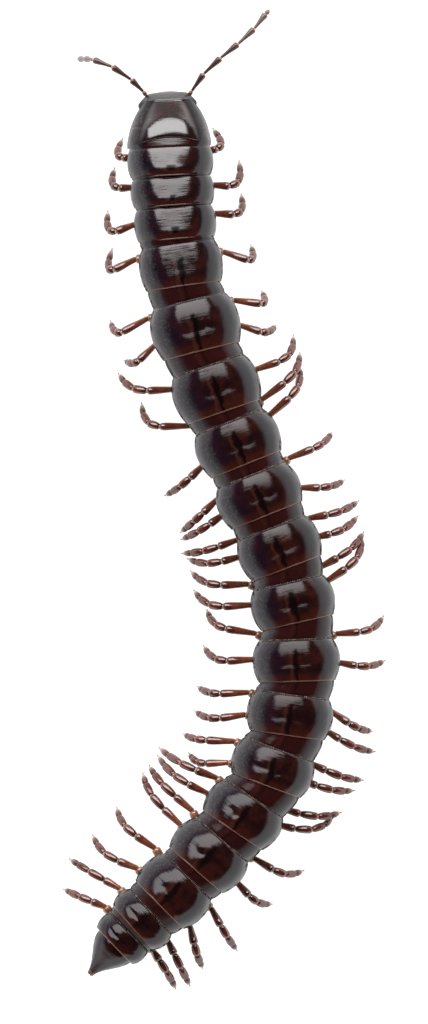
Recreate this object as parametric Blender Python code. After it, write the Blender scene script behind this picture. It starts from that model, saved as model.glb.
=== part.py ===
"""A male paradoxosomatid millipede as a still, life-size model, built in millimetres.

The head points to +Y, the back to +Z, and the feet stand on z = 0.  The body follows a
gentle S in plan: each ring is a turned plate with its own heading, pitch and girth.
"""
import math

import bmesh
import bpy
from mathutils import Matrix, Vector

BODY = "millipede"
MM = 0.001
GAP = 0.3                   # clear space between neighbouring solids
UP = Vector((0.0, 0.0, 1.0))
SMOOTH_BELOW = 50           # edges that turn by fewer degrees are shaded smooth
WELD_WITHIN = 0.002         # corners nearer than this are one after a union

# The body: where ring 2 has its waist, and what all rings share
FIRST_WAIST = Vector((-2.07, 13.04, 0.0))
RING_SIDES = 14             # facets over the back, from one lower corner to the other
BACK_RISE = 0.94            # height of the back over the axis, as a share of the half width
FLAT_BELOW = 1.3            # level at which every ring is flat below, over the leg plates
DEEPEST_DIP = 0.96          # how far round below an arch goes, as a share of its rise
SHORTEST_STUB = 0.08        # least length of the narrow front part that shows
FRONT_PART = 0.97           # girth of the narrow front part, as a share of the waist

# Along a plate, all as shares of its length or of its widest girth
PLATE_SHARES = (0.0, 0.12, 0.28, 0.48, 0.74, 1.0)
WIDEST_AT = 0.48
REAR_MARGIN = 0.87          # girth of the rear margin
REAR_MARGINS = {2: 0.935, 3: 0.93, 4: 0.925, 5: 0.90}   # where rings are more even
REAR_POWER = 2.2            # how late the girth falls to the rear margin
RISEN_AT = 0.38             # where the back has its full height
RISEN_AT_FRONT = {2: 0.76, 3: 0.76, 4: 0.76, 5: 0.6}

# Heights of the back: the step at the waist, and the fall to the rear margin
STEP_SHARE = 0.54           # the step, as a share of how far the plate swells
STEP_LARGEST = 0.13
STEPS_FRONT = {2: 0.17, 3: 0.18, 4: 0.18, 5: 0.19}
REAR_FALL = 0.05

# For each ring from the second on: pitch to the next, heading of the axis from straight
# back (positive to the right), widest half width, waist half width, plate length, height
RINGS = (
    (1.11, 3, 1.60, 1.50, 1.03, 2.36),
    (1.11, 4, 1.56, 1.45, 1.03, 2.40),
    (1.37, 5, 1.53, 1.40, 1.17, 2.43),
    (2.12, 8, 1.56, 1.37, 1.56, 2.45),
    (2.51, 14, 1.68, 1.37, 1.93, 2.45),
    (2.22, 19, 1.66, 1.39, 1.81, 2.45),
    (2.13, 22, 1.61, 1.35, 1.70, 2.45),
    (2.09, 22, 1.62, 1.34, 1.61, 2.45),
    (2.12, 21, 1.58, 1.33, 1.61, 2.45),
    (2.12, 13, 1.58, 1.34, 1.53, 2.45),
    (2.06, 2, 1.63, 1.36, 1.56, 2.45),
    (2.09, -8, 1.61, 1.38, 1.51, 2.45),
    (2.03, -20, 1.57, 1.37, 1.41, 2.45),
    (1.94, -34, 1.54, 1.31, 1.42, 2.44),
    (1.86, -41, 1.52, 1.28, 1.48, 2.42),
    (1.89, -45, 1.46, 1.23, 1.48, 2.38),
    (1.11, -48, 1.28, 1.16, 0.89, 2.30),
    (0.92, -46, 1.09, 1.03, 0.74, 2.22),
)
FIRST_RING = 2

# The collar, the shield behind the head, seen on its own axis
HEAD_AXIS_X = -2.15
COLLAR_REAR = 13.48         # Y of its rear face
# For each section from the rear: distance ahead of the rear face, half width, height of
# the top, of the side edges and of the middle of the underside
COLLAR = (
    (0.0, 1.52, 3.80, 1.75, 1.32),
    (0.10, 1.50, 3.78, 1.77, 1.48),
    (0.36, 1.43, 3.71, 1.84, 2.80),
    (0.66, 1.33, 3.58, 1.98, 2.86),
    (1.02, 1.13, 3.37, 2.20, 2.92),
    (1.28, 0.92, 3.21, 2.46, 2.86),
    (1.40, 0.76, 3.07, 2.66, 2.74),
)
COLLAR_SIDES = 12
UNDER_SHARES = (-0.5, 0.0, 0.5)     # corners of the underside, as shares of the half width

# The head hangs under the collar with its face to the front
HEAD_CENTRE = Vector((HEAD_AXIS_X, 14.46, 1.56))
HEAD_HALF = Vector((0.93, 0.62, 0.93))
CHEEK_HALF = Vector((0.36, 0.5, 0.52))
CHEEK_PLACE = Vector((0.64, -0.06, -0.32))
LIP_HALF = Vector((0.56, 0.36, 0.42))
LIP_PLACE = Vector((0.0, 0.16, -0.66))
CHIN_HALF = Vector((0.58, 0.34, 0.5))
CHIN_PLACE = Vector((0.0, -0.26, -0.62))

# Antennae: the joints as offsets from the head axis, the front of the head and the floor
ANTENNA_FRONT_Y = 15.07
ANTENNA_RIGHT = (
    (1.00, 0.24, 1.82), (1.35, 0.74, 1.95), (1.98, 1.33, 2.05),
    (2.63, 1.85, 2.10), (3.22, 2.41, 2.05), (3.65, 2.96, 1.98), (3.76, 3.08, 1.96),
)
ANTENNA_LEFT = (
    (-0.98, 0.20, 1.82), (-1.35, 0.52, 1.93), (-2.06, 1.00, 2.02),
    (-2.76, 1.26, 1.90), (-3.02, 1.30, 1.24), (-3.24, 1.32, 0.62), (-3.30, 1.33, 0.48),
)
ARTICLE_THIN = 0.25         # half thickness at the base of an article
ARTICLE_THICK = 0.30        # half thickness near its outer end
ARTICLE_SWELL_AT = 0.72
FIRST_BASE = 0.85           # the first article is this much thinner at its base
LAST_SWELL = 0.9            # and the last but one at its outer end
ANTENNA_TIP = 0.12
ANTENNA_SIDES = 8

# The tail piece: distance behind its base line and half width, then the anal valves
TAIL_CONE = ((0.0, 0.80), (0.28, 0.66), (0.58, 0.46), (0.90, 0.26), (1.24, 0.11))
TAIL_HEADING = -42
TAIL_HEIGHT = 2.14
TAIL_TIP_HEIGHT = 2.02
TAIL_BASE_HALF = 0.88
VALVE_HALF = Vector((0.42, 0.5, 0.52))
VALVE_BEHIND = 0.3
VALVE_HEIGHT = 1.62

# Legs: where the hips lie and how the parts of a leg follow from the knee and the foot
HIP_OUT = 0.45
HIP_LEVEL = 0.72
HIP_FIRST = 0.4             # distance behind the waist of the first hip of a ring
HIP_SECOND = 1.15           # and of the second
HIP_FRONT_RINGS = 0.6       # on the rings with a single pair at the front of the body
KNOB_OUT = 1.12             # plan distance from hip to the knob before the long part
KNOB_AHEAD = 12             # degrees by which the knob lies ahead of the knee
KNOB_FARTHEST = 0.55        # the knob lies no further out than this share of the knee
KNOB_LEVEL = 0.86
LOWER_LEG = 1.62            # length from knee to foot
KNEE_LOWEST = 0.8
KNEE_HIGHEST = 1.05
BEND_AHEAD = 0.6            # the lower leg first carries on by this share of its spread
BEND_LEVEL = 1.0            # at this share of the knee's level
LOWER_JOINTS = (0.4, 0.74)  # places of the two lower joints on that arc
SWELL_AT = 0.62             # where a part is thickest
LEG_CLEAR = 0.58            # distance that a leg's centre line keeps from the rings
LEG_SIDES = 6
LEG_THICK = 0.29            # half thickness where a part swells
LEG_THIN = 0.265            # half thickness at a joint
SHANK_THIN = 0.2
FOOT_HALF = 0.13            # half width of the flat under a foot
PLATE_INNER = 0.15          # leg plate: from the midline
PLATE_OUTER = 0.62
PLATE_TOP = 1.0
PLATE_BOTTOM = 0.64
PLATE_BEFORE_HIP = 0.28     # leg plate: from the first hip to its front
PLATE_BEHIND_HIP = 0.36     # and from the last hip to its rear
PLATE_INSET = 0.06          # how much smaller it is below

# Poses read from the photograph, one leg a row: the knee's direction ahead of straight
# out in degrees and its distance from the hip in mm, then the same for the foot, and
# where two legs cross, the level of the knee
LEFT_LEGS = {
    2: ((15, 1.38, 39, 1.68),),
    3: ((14, 1.58, 34, 2.00),),
    4: ((-2, 1.77, 19, 2.13),),
    5: ((-5, 2.05, 16, 2.10), (0, 0.70, -6, 0.78)),
    6: ((-3, 2.26, 8, 2.58), (-16, 1.98, -10, 2.42)),
    7: ((27, 2.25, 35, 3.40),),
    8: ((31, 2.35, 44, 3.22), (-8, 1.70, -10, 2.78)),
    9: ((-8, 1.75, -12, 2.77), (1, 1.65, -2, 2.80)),
    10: ((15, 1.70, 13, 3.03), (20, 1.84, 22, 3.05)),
    11: ((23, 2.18, 28, 3.34), (21, 2.26, 28, 3.40)),
    12: ((22, 2.30, 29, 3.18), (11, 2.17, 18, 3.09)),
    13: ((1, 2.23, 3, 3.04), (-3, 2.10, 0, 3.01)),
    14: ((-6, 2.22, -6, 3.03), (-9, 1.95, -4, 2.60, 0.78)),
    15: ((1, 1.93, -1, 3.46, 1.45), (6, 1.88, 7, 3.37, 1.40)),
    16: ((13, 1.97, 11, 3.40, 0.90), (16, 2.02, 17, 3.48)),
    17: ((2, 1.98, 5, 3.17), (-10, 1.81, -6, 3.08)),
    18: ((-5, 1.57, -11, 3.01), (-12, 1.31, -18, 2.38)),
}
RIGHT_LEGS = {
    2: ((21, 1.40, 46, 1.75),),
    3: ((6, 1.69, 27, 2.36),),
    4: ((6, 1.77, 23, 2.27),),
    5: ((-14, 2.12, 0, 2.24), (0, 0.70, -6, 0.78)),
    6: ((-9, 2.16, 2, 2.28), (-18, 1.98, -12, 2.49)),
    7: ((12, 2.15, 22, 3.13),),
    8: ((26, 2.25, 31, 3.43), (30, 2.29, 37, 3.42)),
    9: ((12, 2.13, 14, 3.01), (-8, 1.80, -7, 2.69)),
    10: ((3, 1.69, 3, 2.90), (5, 1.54, 8, 2.70)),
    11: ((29, 1.79, 30, 3.11), (33, 2.12, 39, 3.35)),
    12: ((16, 2.05, 21, 3.03), (2, 1.81, 4, 2.82)),
    13: ((-12, 1.83, -12, 2.70), (-10, 1.57, -11, 2.90)),
    14: ((9, 1.50, 7, 2.88), (14, 1.40, 13, 2.75)),
    15: ((33, 1.57, 34, 3.05), (35, 1.81, 41, 3.20)),
    16: ((24, 1.91, 29, 2.97), (7, 1.71, 11, 2.56)),
    17: ((-2, 1.74, -6, 2.78), (-18, 1.60, -21, 2.51)),
    18: ((-2, 1.33, -9, 2.59), (7, 1.13, -3, 2.29)),
}

# The modified legs before the walking legs of ring 7: the root that both share, then the
# route of each as distance behind the waist, out from the midline, level, half thickness
GONOPOD_RING = 7
GONOPOD_ROOT_BEHIND = 0.36
GONOPOD_ROOT_LEVEL = 0.78
GONOPOD_ROOT_HALF = Vector((0.46, 0.3, 0.2))
GONOPOD_ROUTE = (
    (0.34, 0.22, 0.78, 0.20), (0.00, 0.27, 0.74, 0.24),
    (-0.34, 0.26, 0.72, 0.20), (-0.58, 0.16, 0.80, 0.10),
)
GONOPOD_SIDES = 6

# Colours and finishes, as read from the photograph
FINISHES = {
    "shell": ((0.045, 0.018, 0.016), 0.22),
    "head_shell": ((0.060, 0.026, 0.020), 0.25),
    "leg_shell": ((0.130, 0.045, 0.030), 0.28),
    "antenna_shell": ((0.075, 0.045, 0.040), 0.35),
}


def clear_scene():
    """Remove what the file holds."""
    for thing in list(bpy.data.objects):
        bpy.data.objects.remove(thing, do_unlink=True)


def make_material(name):
    """A Principled material with the kind's colour and roughness."""
    colour, roughness = FINISHES[name]
    material = bpy.data.materials.new(name)
    material.use_nodes = True
    shader = material.node_tree.nodes["Principled BSDF"]
    shader.inputs["Base Color"].default_value = (*colour, 1.0)
    shader.inputs["Roughness"].default_value = roughness
    shader.inputs["Metallic"].default_value = 0.0
    return material


class Ring:
    """One body ring: its frame in plan, and its sizes."""

    def __init__(self, number, waist_at, sizes):
        self.number = number
        self.pitch, self.heading, self.widest, self.waist, self.plate, self.height = sizes
        self.at = waist_at
        self.back = backwards(self.heading)
        self.right = sideways(self.heading)
        swell = self.widest - self.waist
        self.rear = self.widest * REAR_MARGINS.get(number, REAR_MARGIN)
        self.step = STEPS_FRONT.get(number, min(STEP_LARGEST, STEP_SHARE * swell))
        self.risen_at = RISEN_AT_FRONT.get(number, RISEN_AT)

    def half(self, share):
        """Half width at a share of the plate: it swells as a parabola from the waist, and
        falls slowly, then fast, to the rear margin."""
        to_waist = max(0.0, 1 - share / WIDEST_AT)
        to_rear = max(0.0, (share - WIDEST_AT) / (1 - WIDEST_AT))
        return (self.widest - (self.widest - self.waist) * to_waist ** 2
                - (self.widest - self.rear) * to_rear ** REAR_POWER)

    def rise(self, share):
        """Height of the back over the axis at a share of the plate."""
        to_waist = max(0.0, 1 - share / self.risen_at)
        to_rear = max(0.0, (share - WIDEST_AT) / (1 - WIDEST_AT))
        return self.widest * BACK_RISE - self.step * to_waist - REAR_FALL * to_rear ** 2

    def place(self, behind, out=0.0, level=0.0):
        """A point given along the axis, across it, and over the floor."""
        return self.at + self.back * behind + self.right * out + UP * level


def backwards(heading):
    """The unit step towards the tail for a heading in degrees."""
    angle = math.radians(heading)
    return Vector((math.sin(angle), -math.cos(angle), 0.0))


def sideways(heading):
    """The unit step to the right of the photograph for a heading in degrees."""
    angle = math.radians(heading)
    return Vector((math.cos(angle), math.sin(angle), 0.0))


def lay_out_rings():
    """Walk down the body: each pitch is laid along the mean of two headings."""
    rings = []
    at = FIRST_WAIST.copy()
    for index, sizes in enumerate(RINGS):
        rings.append(Ring(FIRST_RING + index, at.copy(), sizes))
        following = RINGS[index + 1][1] if index + 1 < len(RINGS) else TAIL_HEADING
        at += backwards((sizes[1] + following) / 2) * sizes[0]
    return rings, at


def solid_plate(ring, next_heading):
    """The length of the plate that leaves the gap and a stub inside the bend."""
    bend = abs(math.sin(math.radians(next_heading - ring.heading))) * ring.waist
    return min(ring.plate, ring.pitch - GAP - SHORTEST_STUB - bend)


def loft(name, sections, material):
    """A closed solid through sections of equal point count, flat at both ends.

    Each section runs anticlockwise as seen from the end of the loft."""
    mesh = bpy.data.meshes.new(name)
    shape = bmesh.new()
    rows = [[shape.verts.new(point * MM) for point in section] for section in sections]
    count = len(rows[0])
    for near, far in zip(rows, rows[1:]):
        for i in range(count):
            j = (i + 1) % count
            shape.faces.new((near[i], near[j], far[j], far[i]))
    shape.faces.new(rows[0][::-1])
    shape.faces.new(rows[-1])
    bmesh.ops.recalc_face_normals(shape, faces=shape.faces[:])
    shape.to_mesh(mesh)
    shape.free()
    return add_object(name, mesh, material)


def add_object(name, mesh, material):
    """Link a mesh as a smooth-shaded object of the millipede."""
    thing = bpy.data.objects.new(name, mesh)
    bpy.data.collections[BODY].objects.link(thing)
    mesh.materials.append(material)
    mesh.shade_smooth()
    mesh.set_sharp_from_angle(angle=math.radians(SMOOTH_BELOW))
    return thing


def hang(thing, origin, body):
    """Give a finished piece its own origin and hang it on the body."""
    thing.data.transform(Matrix.Translation(origin * -MM))
    thing.location = origin * MM
    thing.parent = body


def ball(name, centre, half, material, turn=None, segments=10, rows=7):
    """An ellipsoid from a sphere, stretched and turned in its mesh."""
    mesh = bpy.data.meshes.new(name)
    shape = bmesh.new()
    bmesh.ops.create_uvsphere(shape, u_segments=segments, v_segments=rows, radius=1.0)
    stretch = Matrix.Diagonal((*half, 1.0))
    place = Matrix.Translation(centre)
    move = place @ turn.to_4x4() @ stretch if turn else place @ stretch
    bmesh.ops.transform(shape, matrix=Matrix.Scale(MM, 4) @ move, verts=shape.verts[:])
    shape.to_mesh(mesh)
    shape.free()
    return add_object(name, mesh, material)


def keep_largest(mesh):
    """Drop all but the closed surface with the most faces."""
    shape = bmesh.new()
    shape.from_mesh(mesh)
    waiting = set(shape.faces)
    pieces = []
    while waiting:
        front = [waiting.pop()]
        piece = set(front)
        while front:
            face = front.pop()
            for edge in face.edges:
                for other in edge.link_faces:
                    if other in waiting:
                        waiting.remove(other)
                        piece.add(other)
                        front.append(other)
        pieces.append(piece)
    pieces.sort(key=len, reverse=True)
    extra = [face for piece in pieces[1:] for face in piece]
    if extra:
        bmesh.ops.delete(shape, geom=extra, context="FACES")
    bmesh.ops.remove_doubles(shape, verts=shape.verts[:], dist=WELD_WITHIN * MM)
    bmesh.ops.triangulate(shape, faces=shape.faces[:])
    shape.to_mesh(mesh)
    shape.free()


def fuse(base, others):
    """Join closed solids into the first by one union and keep its largest surface."""
    joining = bpy.data.collections.new("joining")
    bpy.context.scene.collection.children.link(joining)
    for thing in others:
        bpy.data.collections[BODY].objects.unlink(thing)
        joining.objects.link(thing)
        thing.hide_render = True
        thing.display_type = "WIRE"
    union = base.modifiers.new("union", "BOOLEAN")
    union.operation = "UNION"
    union.operand_type = "COLLECTION"
    union.collection = joining
    union.solver = "EXACT"
    graph = bpy.context.evaluated_depsgraph_get()
    joined = bpy.data.meshes.new_from_object(base.evaluated_get(graph))
    base.modifiers.clear()
    base.data = joined
    for thing in list(joining.objects):
        bpy.data.objects.remove(thing, do_unlink=True)
    bpy.data.collections.remove(joining)
    keep_largest(joined)
    joined.shade_smooth()
    joined.set_sharp_from_angle(angle=math.radians(SMOOTH_BELOW))
    return base


def ring_section(centre, right, half, rise, height):
    """An arch over the back, closed by a flat below."""
    corner = math.asin(min(DEEPEST_DIP, (height - FLAT_BELOW) / rise))
    points = []
    for i in range(RING_SIDES + 1):
        angle = -corner + (math.pi + 2 * corner) * i / RING_SIDES
        across = right * (half * math.cos(angle))
        points.append(centre + across + UP * (height + rise * math.sin(angle)))
    return points


def make_ring(ring, front_centre, front_right, plate, material):
    """A ring: the narrow front part from the last ring's rear, the waist, the plate."""
    sections = [ring_section(front_centre, front_right, ring.waist * FRONT_PART,
                             ring.rise(0.0), ring.height)]
    for share in PLATE_SHARES:
        sections.append(ring_section(ring.place(plate * share), ring.right, ring.half(share),
                                     ring.rise(share), ring.height))
    return loft(f"ring_{ring.number:02d}", sections, material)


def make_collar(material):
    """The shield: an arch over the neck, thin in front and deep behind."""
    sections = []
    for ahead, half, top, edge, middle in COLLAR:
        centre = Vector((HEAD_AXIS_X, COLLAR_REAR + ahead, 0.0))
        points = []
        for i in range(COLLAR_SIDES + 1):
            angle = math.pi * i / COLLAR_SIDES
            height = edge + (top - edge) * math.sin(angle)
            points.append(centre + Vector((half * math.cos(angle), 0.0, height)))
        for share in UNDER_SHARES:
            drop = middle + (edge - middle) * share * share
            points.append(centre + Vector((half * share, 0.0, drop)))
        sections.append(points)
    return loft("collum", sections, material)


def make_head(material):
    """Skull, cheeks, upper lip and chin plate, fused."""
    skull = ball("head", HEAD_CENTRE, HEAD_HALF, material, segments=16, rows=10)
    others = [ball("lip", HEAD_CENTRE + LIP_PLACE, LIP_HALF, material),
              ball("chin", HEAD_CENTRE + CHIN_PLACE, CHIN_HALF, material)]
    for side in (-1, 1):
        place = HEAD_CENTRE + Vector((side * CHEEK_PLACE.x, CHEEK_PLACE.y, CHEEK_PLACE.z))
        others.append(ball("cheek", place, CHEEK_HALF, material))
    return fuse(skull, others)


def section_across(centre, along, half, sides, first=None):
    """A regular polygon square to a direction, and the side vector it starts from."""
    side = first if first is not None else UP.cross(along)
    side = (side - along * side.dot(along)).normalized()
    other = along.cross(side)
    points = []
    for i in range(sides):
        angle = 2 * math.pi * i / sides
        points.append(centre + (side * math.cos(angle) + other * math.sin(angle)) * half)
    return points, side


def antenna_joint(offsets):
    """A joint's place from its offsets."""
    x, y, z = offsets
    return Vector((HEAD_AXIS_X + x, ANTENNA_FRONT_Y + y, z))


def make_antenna(name, joints, material):
    """Club-shaped articles end to end, thin at each base and thick before each tip."""
    points = [antenna_joint(offsets) for offsets in joints]
    stations = []
    for index, (start, end) in enumerate(zip(points, points[1:])):
        along = (end - start).normalized()
        last = index == len(points) - 2
        if last:
            stations.append((end, along, ANTENNA_TIP))
            continue
        stations.append((start, along, ARTICLE_THIN * (FIRST_BASE if index == 0 else 1.0)))
        swell = ARTICLE_THICK * (LAST_SWELL if index == len(points) - 3 else 1.0)
        stations.append((start.lerp(end, ARTICLE_SWELL_AT), along, swell))
    sections = []
    side = None
    for centre, along, half in stations:
        points, side = section_across(centre, along, half, ANTENNA_SIDES, side)
        sections.append(points)
    return loft(name, sections, material)


def make_telson(front_centre, front_right, base_at, material):
    """The tail cone with the two anal valves below it, fused."""
    back = backwards(TAIL_HEADING)
    right = sideways(TAIL_HEADING)
    sections = [tail_section(front_centre, front_right, TAIL_BASE_HALF, TAIL_HEIGHT)]
    length = TAIL_CONE[-1][0]
    for behind, half in TAIL_CONE:
        height = TAIL_HEIGHT + (TAIL_TIP_HEIGHT - TAIL_HEIGHT) * behind / length
        sections.append(tail_section(base_at + back * behind, right, half, height))
    cone = loft("telson", sections, material)
    turn = Matrix((right, -back, UP)).transposed()
    place = base_at + back * VALVE_BEHIND + UP * VALVE_HEIGHT
    valves = ball("valves", place, VALVE_HALF, material, turn)
    return fuse(cone, [valves])


def tail_section(centre, right, half, height):
    """An upright oval across the tail."""
    points = []
    for i in range(RING_SIDES):
        angle = 2 * math.pi * i / RING_SIDES
        across = right * (half * math.cos(angle))
        points.append(centre + across + UP * (height + half * math.sin(angle)))
    return points


def ceiling(ring, out):
    """The highest level that a leg's centre line may take at a distance from the axis."""
    reach = ring.widest + LEG_CLEAR
    under = FLAT_BELOW - LEG_CLEAR
    if abs(out) >= reach:
        return ring.height
    return max(under, ring.height - math.sqrt(reach * reach - out * out))


def leg_path(ring, side, hip_behind, pose):
    """Hip, knob, knee, two joints and foot, from the plan pose of one leg."""
    knee_aim, knee_out, foot_aim, foot_out = pose[:4]
    hip = ring.place(hip_behind, side * HIP_OUT)
    outward = ring.right * side

    def plan(aim, distance):
        angle = math.radians(aim)
        step = outward * math.cos(angle) - ring.back * math.sin(angle)
        return hip + step * distance

    knee = plan(knee_aim, knee_out)
    foot = plan(foot_aim, foot_out)
    knob_out = min(KNOB_OUT, KNOB_FARTHEST * knee_out)
    knob = plan(knee_aim + KNOB_AHEAD, knob_out)
    spread = (foot - knee).length
    rise = math.sqrt(max(0.0, LOWER_LEG ** 2 - spread ** 2))
    rise = min(max(rise, KNEE_LOWEST), KNEE_HIGHEST)
    if len(pose) > 4:
        rise = pose[4]
    knee_across = HIP_OUT + knee_out * math.cos(math.radians(knee_aim))
    knob_across = HIP_OUT + knob_out * math.cos(math.radians(knee_aim + KNOB_AHEAD))
    knee.z = min(rise, ceiling(ring, knee_across))
    knob.z = min(KNOB_LEVEL, ceiling(ring, knob_across))
    hip.z = HIP_LEVEL
    ahead = (knee - knob).normalized()
    bend = knee + Vector((ahead.x, ahead.y, 0.0)) * (BEND_AHEAD * spread)
    bend.z = knee.z * BEND_LEVEL
    joints = [bezier(knee, bend, foot, t) for t in LOWER_JOINTS]
    return [hip, knob, knee, *joints, foot]


def bezier(start, control, end, t):
    """The point at t on the arc from start to end drawn towards control."""
    return start * (1 - t) ** 2 + control * (2 * t * (1 - t)) + end * t ** 2


def make_leg(ring, side, hip_behind, pose, material):
    """A six-sided tube through the joints, swelling between them, flat at the foot."""
    hip, knob, knee, lower, ankle, foot = leg_path(ring, side, hip_behind, pose)
    stations = (
        (hip, LEG_THIN), (hip.lerp(knob, SWELL_AT), LEG_THICK), (knob, LEG_THIN),
        (knob.lerp(knee, SWELL_AT), LEG_THICK), (knee, LEG_THIN),
        (lower, LEG_THIN), (ankle, LEG_THIN), (ankle.lerp(foot, SWELL_AT), SHANK_THIN),
    )
    route = [centre for centre, _ in stations] + [foot]
    sections = []
    first = None
    for index, (centre, half) in enumerate(stations):
        before = route[max(index - 1, 0)]
        along = (route[index + 1] - before).normalized()
        points, first = section_across(centre, along, half, LEG_SIDES, first)
        sections.append(points)
    sections.append(foot_section(foot, sections[-1]))
    return loft("leg", sections, material)


def foot_section(foot, above):
    """A small level polygon on the floor, with its corners in line with those above."""
    middle = sum(above, Vector()) / len(above)
    turn = above[0] - middle
    start = math.atan2(turn.y, turn.x)
    area = sum(a.cross(b).z for a, b in zip(above, above[1:] + above[:1]))
    way = 1.0 if area > 0 else -1.0
    points = []
    for i in range(LEG_SIDES):
        angle = start + way * 2 * math.pi * i / LEG_SIDES
        corner = Vector((math.cos(angle), math.sin(angle), 0.0)) * FOOT_HALF
        points.append(Vector((foot.x, foot.y, 0.0)) + corner)
    return points


def leg_plate(ring, side, hips, material):
    """Half of the plate under a ring, from which the legs of one side grow."""
    near, far = hips[0] - PLATE_BEFORE_HIP, hips[-1] + PLATE_BEHIND_HIP
    corners = []
    for level in (PLATE_BOTTOM, PLATE_TOP):
        inset = PLATE_INSET if level == PLATE_BOTTOM else 0.0
        corners.append([
            ring.place(near + inset, side * PLATE_INNER, level),
            ring.place(near + inset, side * (PLATE_OUTER - inset), level),
            ring.place(far - inset, side * (PLATE_OUTER - inset), level),
            ring.place(far - inset, side * PLATE_INNER, level),
        ])
    return loft("leg_plate", corners, material)


def hip_places(ring, count):
    """How far behind the waist the hips of a ring lie."""
    if ring.number == GONOPOD_RING:
        return [HIP_SECOND]
    if count == 1:
        return [HIP_FRONT_RINGS]
    return [HIP_FIRST, HIP_SECOND]


def make_legs(ring, side, poses, material):
    """One side's legs of a ring, fused to their half of the plate."""
    hips = hip_places(ring, len(poses))
    base = leg_plate(ring, side, hips, material)
    legs = [make_leg(ring, side, behind, pose, material)
            for behind, pose in zip(hips, poses)]
    joined = fuse(base, legs)
    joined.name = f"legs_{ring.number:02d}_{'right' if side > 0 else 'left'}"
    return joined


def make_gonopods(ring, material):
    """The pair of modified legs before the walking legs of ring 7, on one root."""
    turn = Matrix((ring.right, -ring.back, UP)).transposed()
    root = ball("gonopods", ring.place(GONOPOD_ROOT_BEHIND, 0.0, GONOPOD_ROOT_LEVEL),
                GONOPOD_ROOT_HALF, material, turn)
    arms = []
    for side in (-1, 1):
        route = [ring.place(behind, side * out, level)
                 for behind, out, level, _ in GONOPOD_ROUTE]
        sections = []
        first = None
        for index, (_, _, _, half) in enumerate(GONOPOD_ROUTE):
            nearer = route[max(index - 1, 0)]
            further = route[min(index + 1, len(route) - 1)]
            along = (further - nearer).normalized()
            points, first = section_across(route[index], along, half, GONOPOD_SIDES, first)
            sections.append(points)
        arms.append(loft("gonopod", sections, material))
    return fuse(root, arms)


def main():
    clear_scene()
    collection = bpy.data.collections.new(BODY)
    bpy.context.scene.collection.children.link(collection)
    body = bpy.data.objects.new(BODY, None)
    collection.objects.link(body)
    materials = {name: make_material(name) for name in FINISHES}
    rings, tail_at = lay_out_rings()

    hang(make_head(materials["head_shell"]), HEAD_CENTRE, body)
    for name, joints in (("antenna_right", ANTENNA_RIGHT), ("antenna_left", ANTENNA_LEFT)):
        antenna = make_antenna(name, joints, materials["antenna_shell"])
        hang(antenna, antenna_joint(joints[0]), body)
    collar_rear = Vector((HEAD_AXIS_X, COLLAR_REAR, 0.0))
    hang(make_collar(materials["shell"]), collar_rear, body)

    front = collar_rear + backwards(0) * GAP
    front_right = sideways(0)
    for index, ring in enumerate(rings):
        following = rings[index + 1].heading if index + 1 < len(rings) else TAIL_HEADING
        plate = solid_plate(ring, following)
        shell = make_ring(ring, front, front_right, plate, materials["shell"])
        hang(shell, ring.place(0.0, 0.0, ring.height), body)
        front = ring.place(plate + GAP)
        front_right = ring.right
        for side, table in ((-1, LEFT_LEGS), (1, RIGHT_LEGS)):
            if ring.number in table:
                poses = table[ring.number]
                legs = make_legs(ring, side, poses, materials["leg_shell"])
                first_hip = hip_places(ring, len(poses))[0]
                hang(legs, ring.place(first_hip, side * HIP_OUT, HIP_LEVEL), body)
        if ring.number == GONOPOD_RING:
            root = ring.place(GONOPOD_ROOT_BEHIND, 0.0, GONOPOD_ROOT_LEVEL)
            hang(make_gonopods(ring, materials["leg_shell"]), root, body)
    telson = make_telson(front, front_right, tail_at, materials["shell"])
    hang(telson, tail_at + UP * TAIL_HEIGHT, body)


main()
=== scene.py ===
"""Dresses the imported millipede: shell rings, head, feelers, legs and tail, and the studio.

Lengths are in millimetres until a mesh is made.  The head points to +Y, the back to +Z.
"""
import math
from types import SimpleNamespace

import bpy
import numpy as np
from bpy.props import FloatProperty, FloatVectorProperty, IntProperty, PointerProperty
from bpy.types import Operator, Panel, PropertyGroup
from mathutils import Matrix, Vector


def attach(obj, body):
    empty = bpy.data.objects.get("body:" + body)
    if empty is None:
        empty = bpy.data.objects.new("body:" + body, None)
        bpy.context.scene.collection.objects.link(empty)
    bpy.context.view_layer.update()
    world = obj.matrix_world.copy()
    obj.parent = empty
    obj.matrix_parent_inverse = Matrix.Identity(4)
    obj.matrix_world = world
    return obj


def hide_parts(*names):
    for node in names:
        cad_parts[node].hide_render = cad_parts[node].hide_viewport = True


bl_info = {
    "name": "Millipede model",
    "version": (1, 0, 0),
    "blender": (4, 5, 0),
    "location": "3D View > Sidebar > Millipede",
    "description": "Shell, limbs and studio of a life-size flat-backed millipede",
    "category": "Add Mesh",
}

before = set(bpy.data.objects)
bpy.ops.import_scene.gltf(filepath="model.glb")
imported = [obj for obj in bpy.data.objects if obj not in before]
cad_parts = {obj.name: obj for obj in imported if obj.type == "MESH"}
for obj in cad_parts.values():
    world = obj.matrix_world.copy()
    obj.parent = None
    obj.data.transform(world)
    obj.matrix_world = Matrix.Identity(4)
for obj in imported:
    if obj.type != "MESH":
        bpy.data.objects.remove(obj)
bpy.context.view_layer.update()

MM = 0.001
UP = np.array([0.0, 0.0, 1.0])
ACROSS = np.array([1.0, 0.0, 0.0])
TURN = 2.0 * math.pi
CHITIN_IOR = 1.56
WAX_IOR = 1.5

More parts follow.
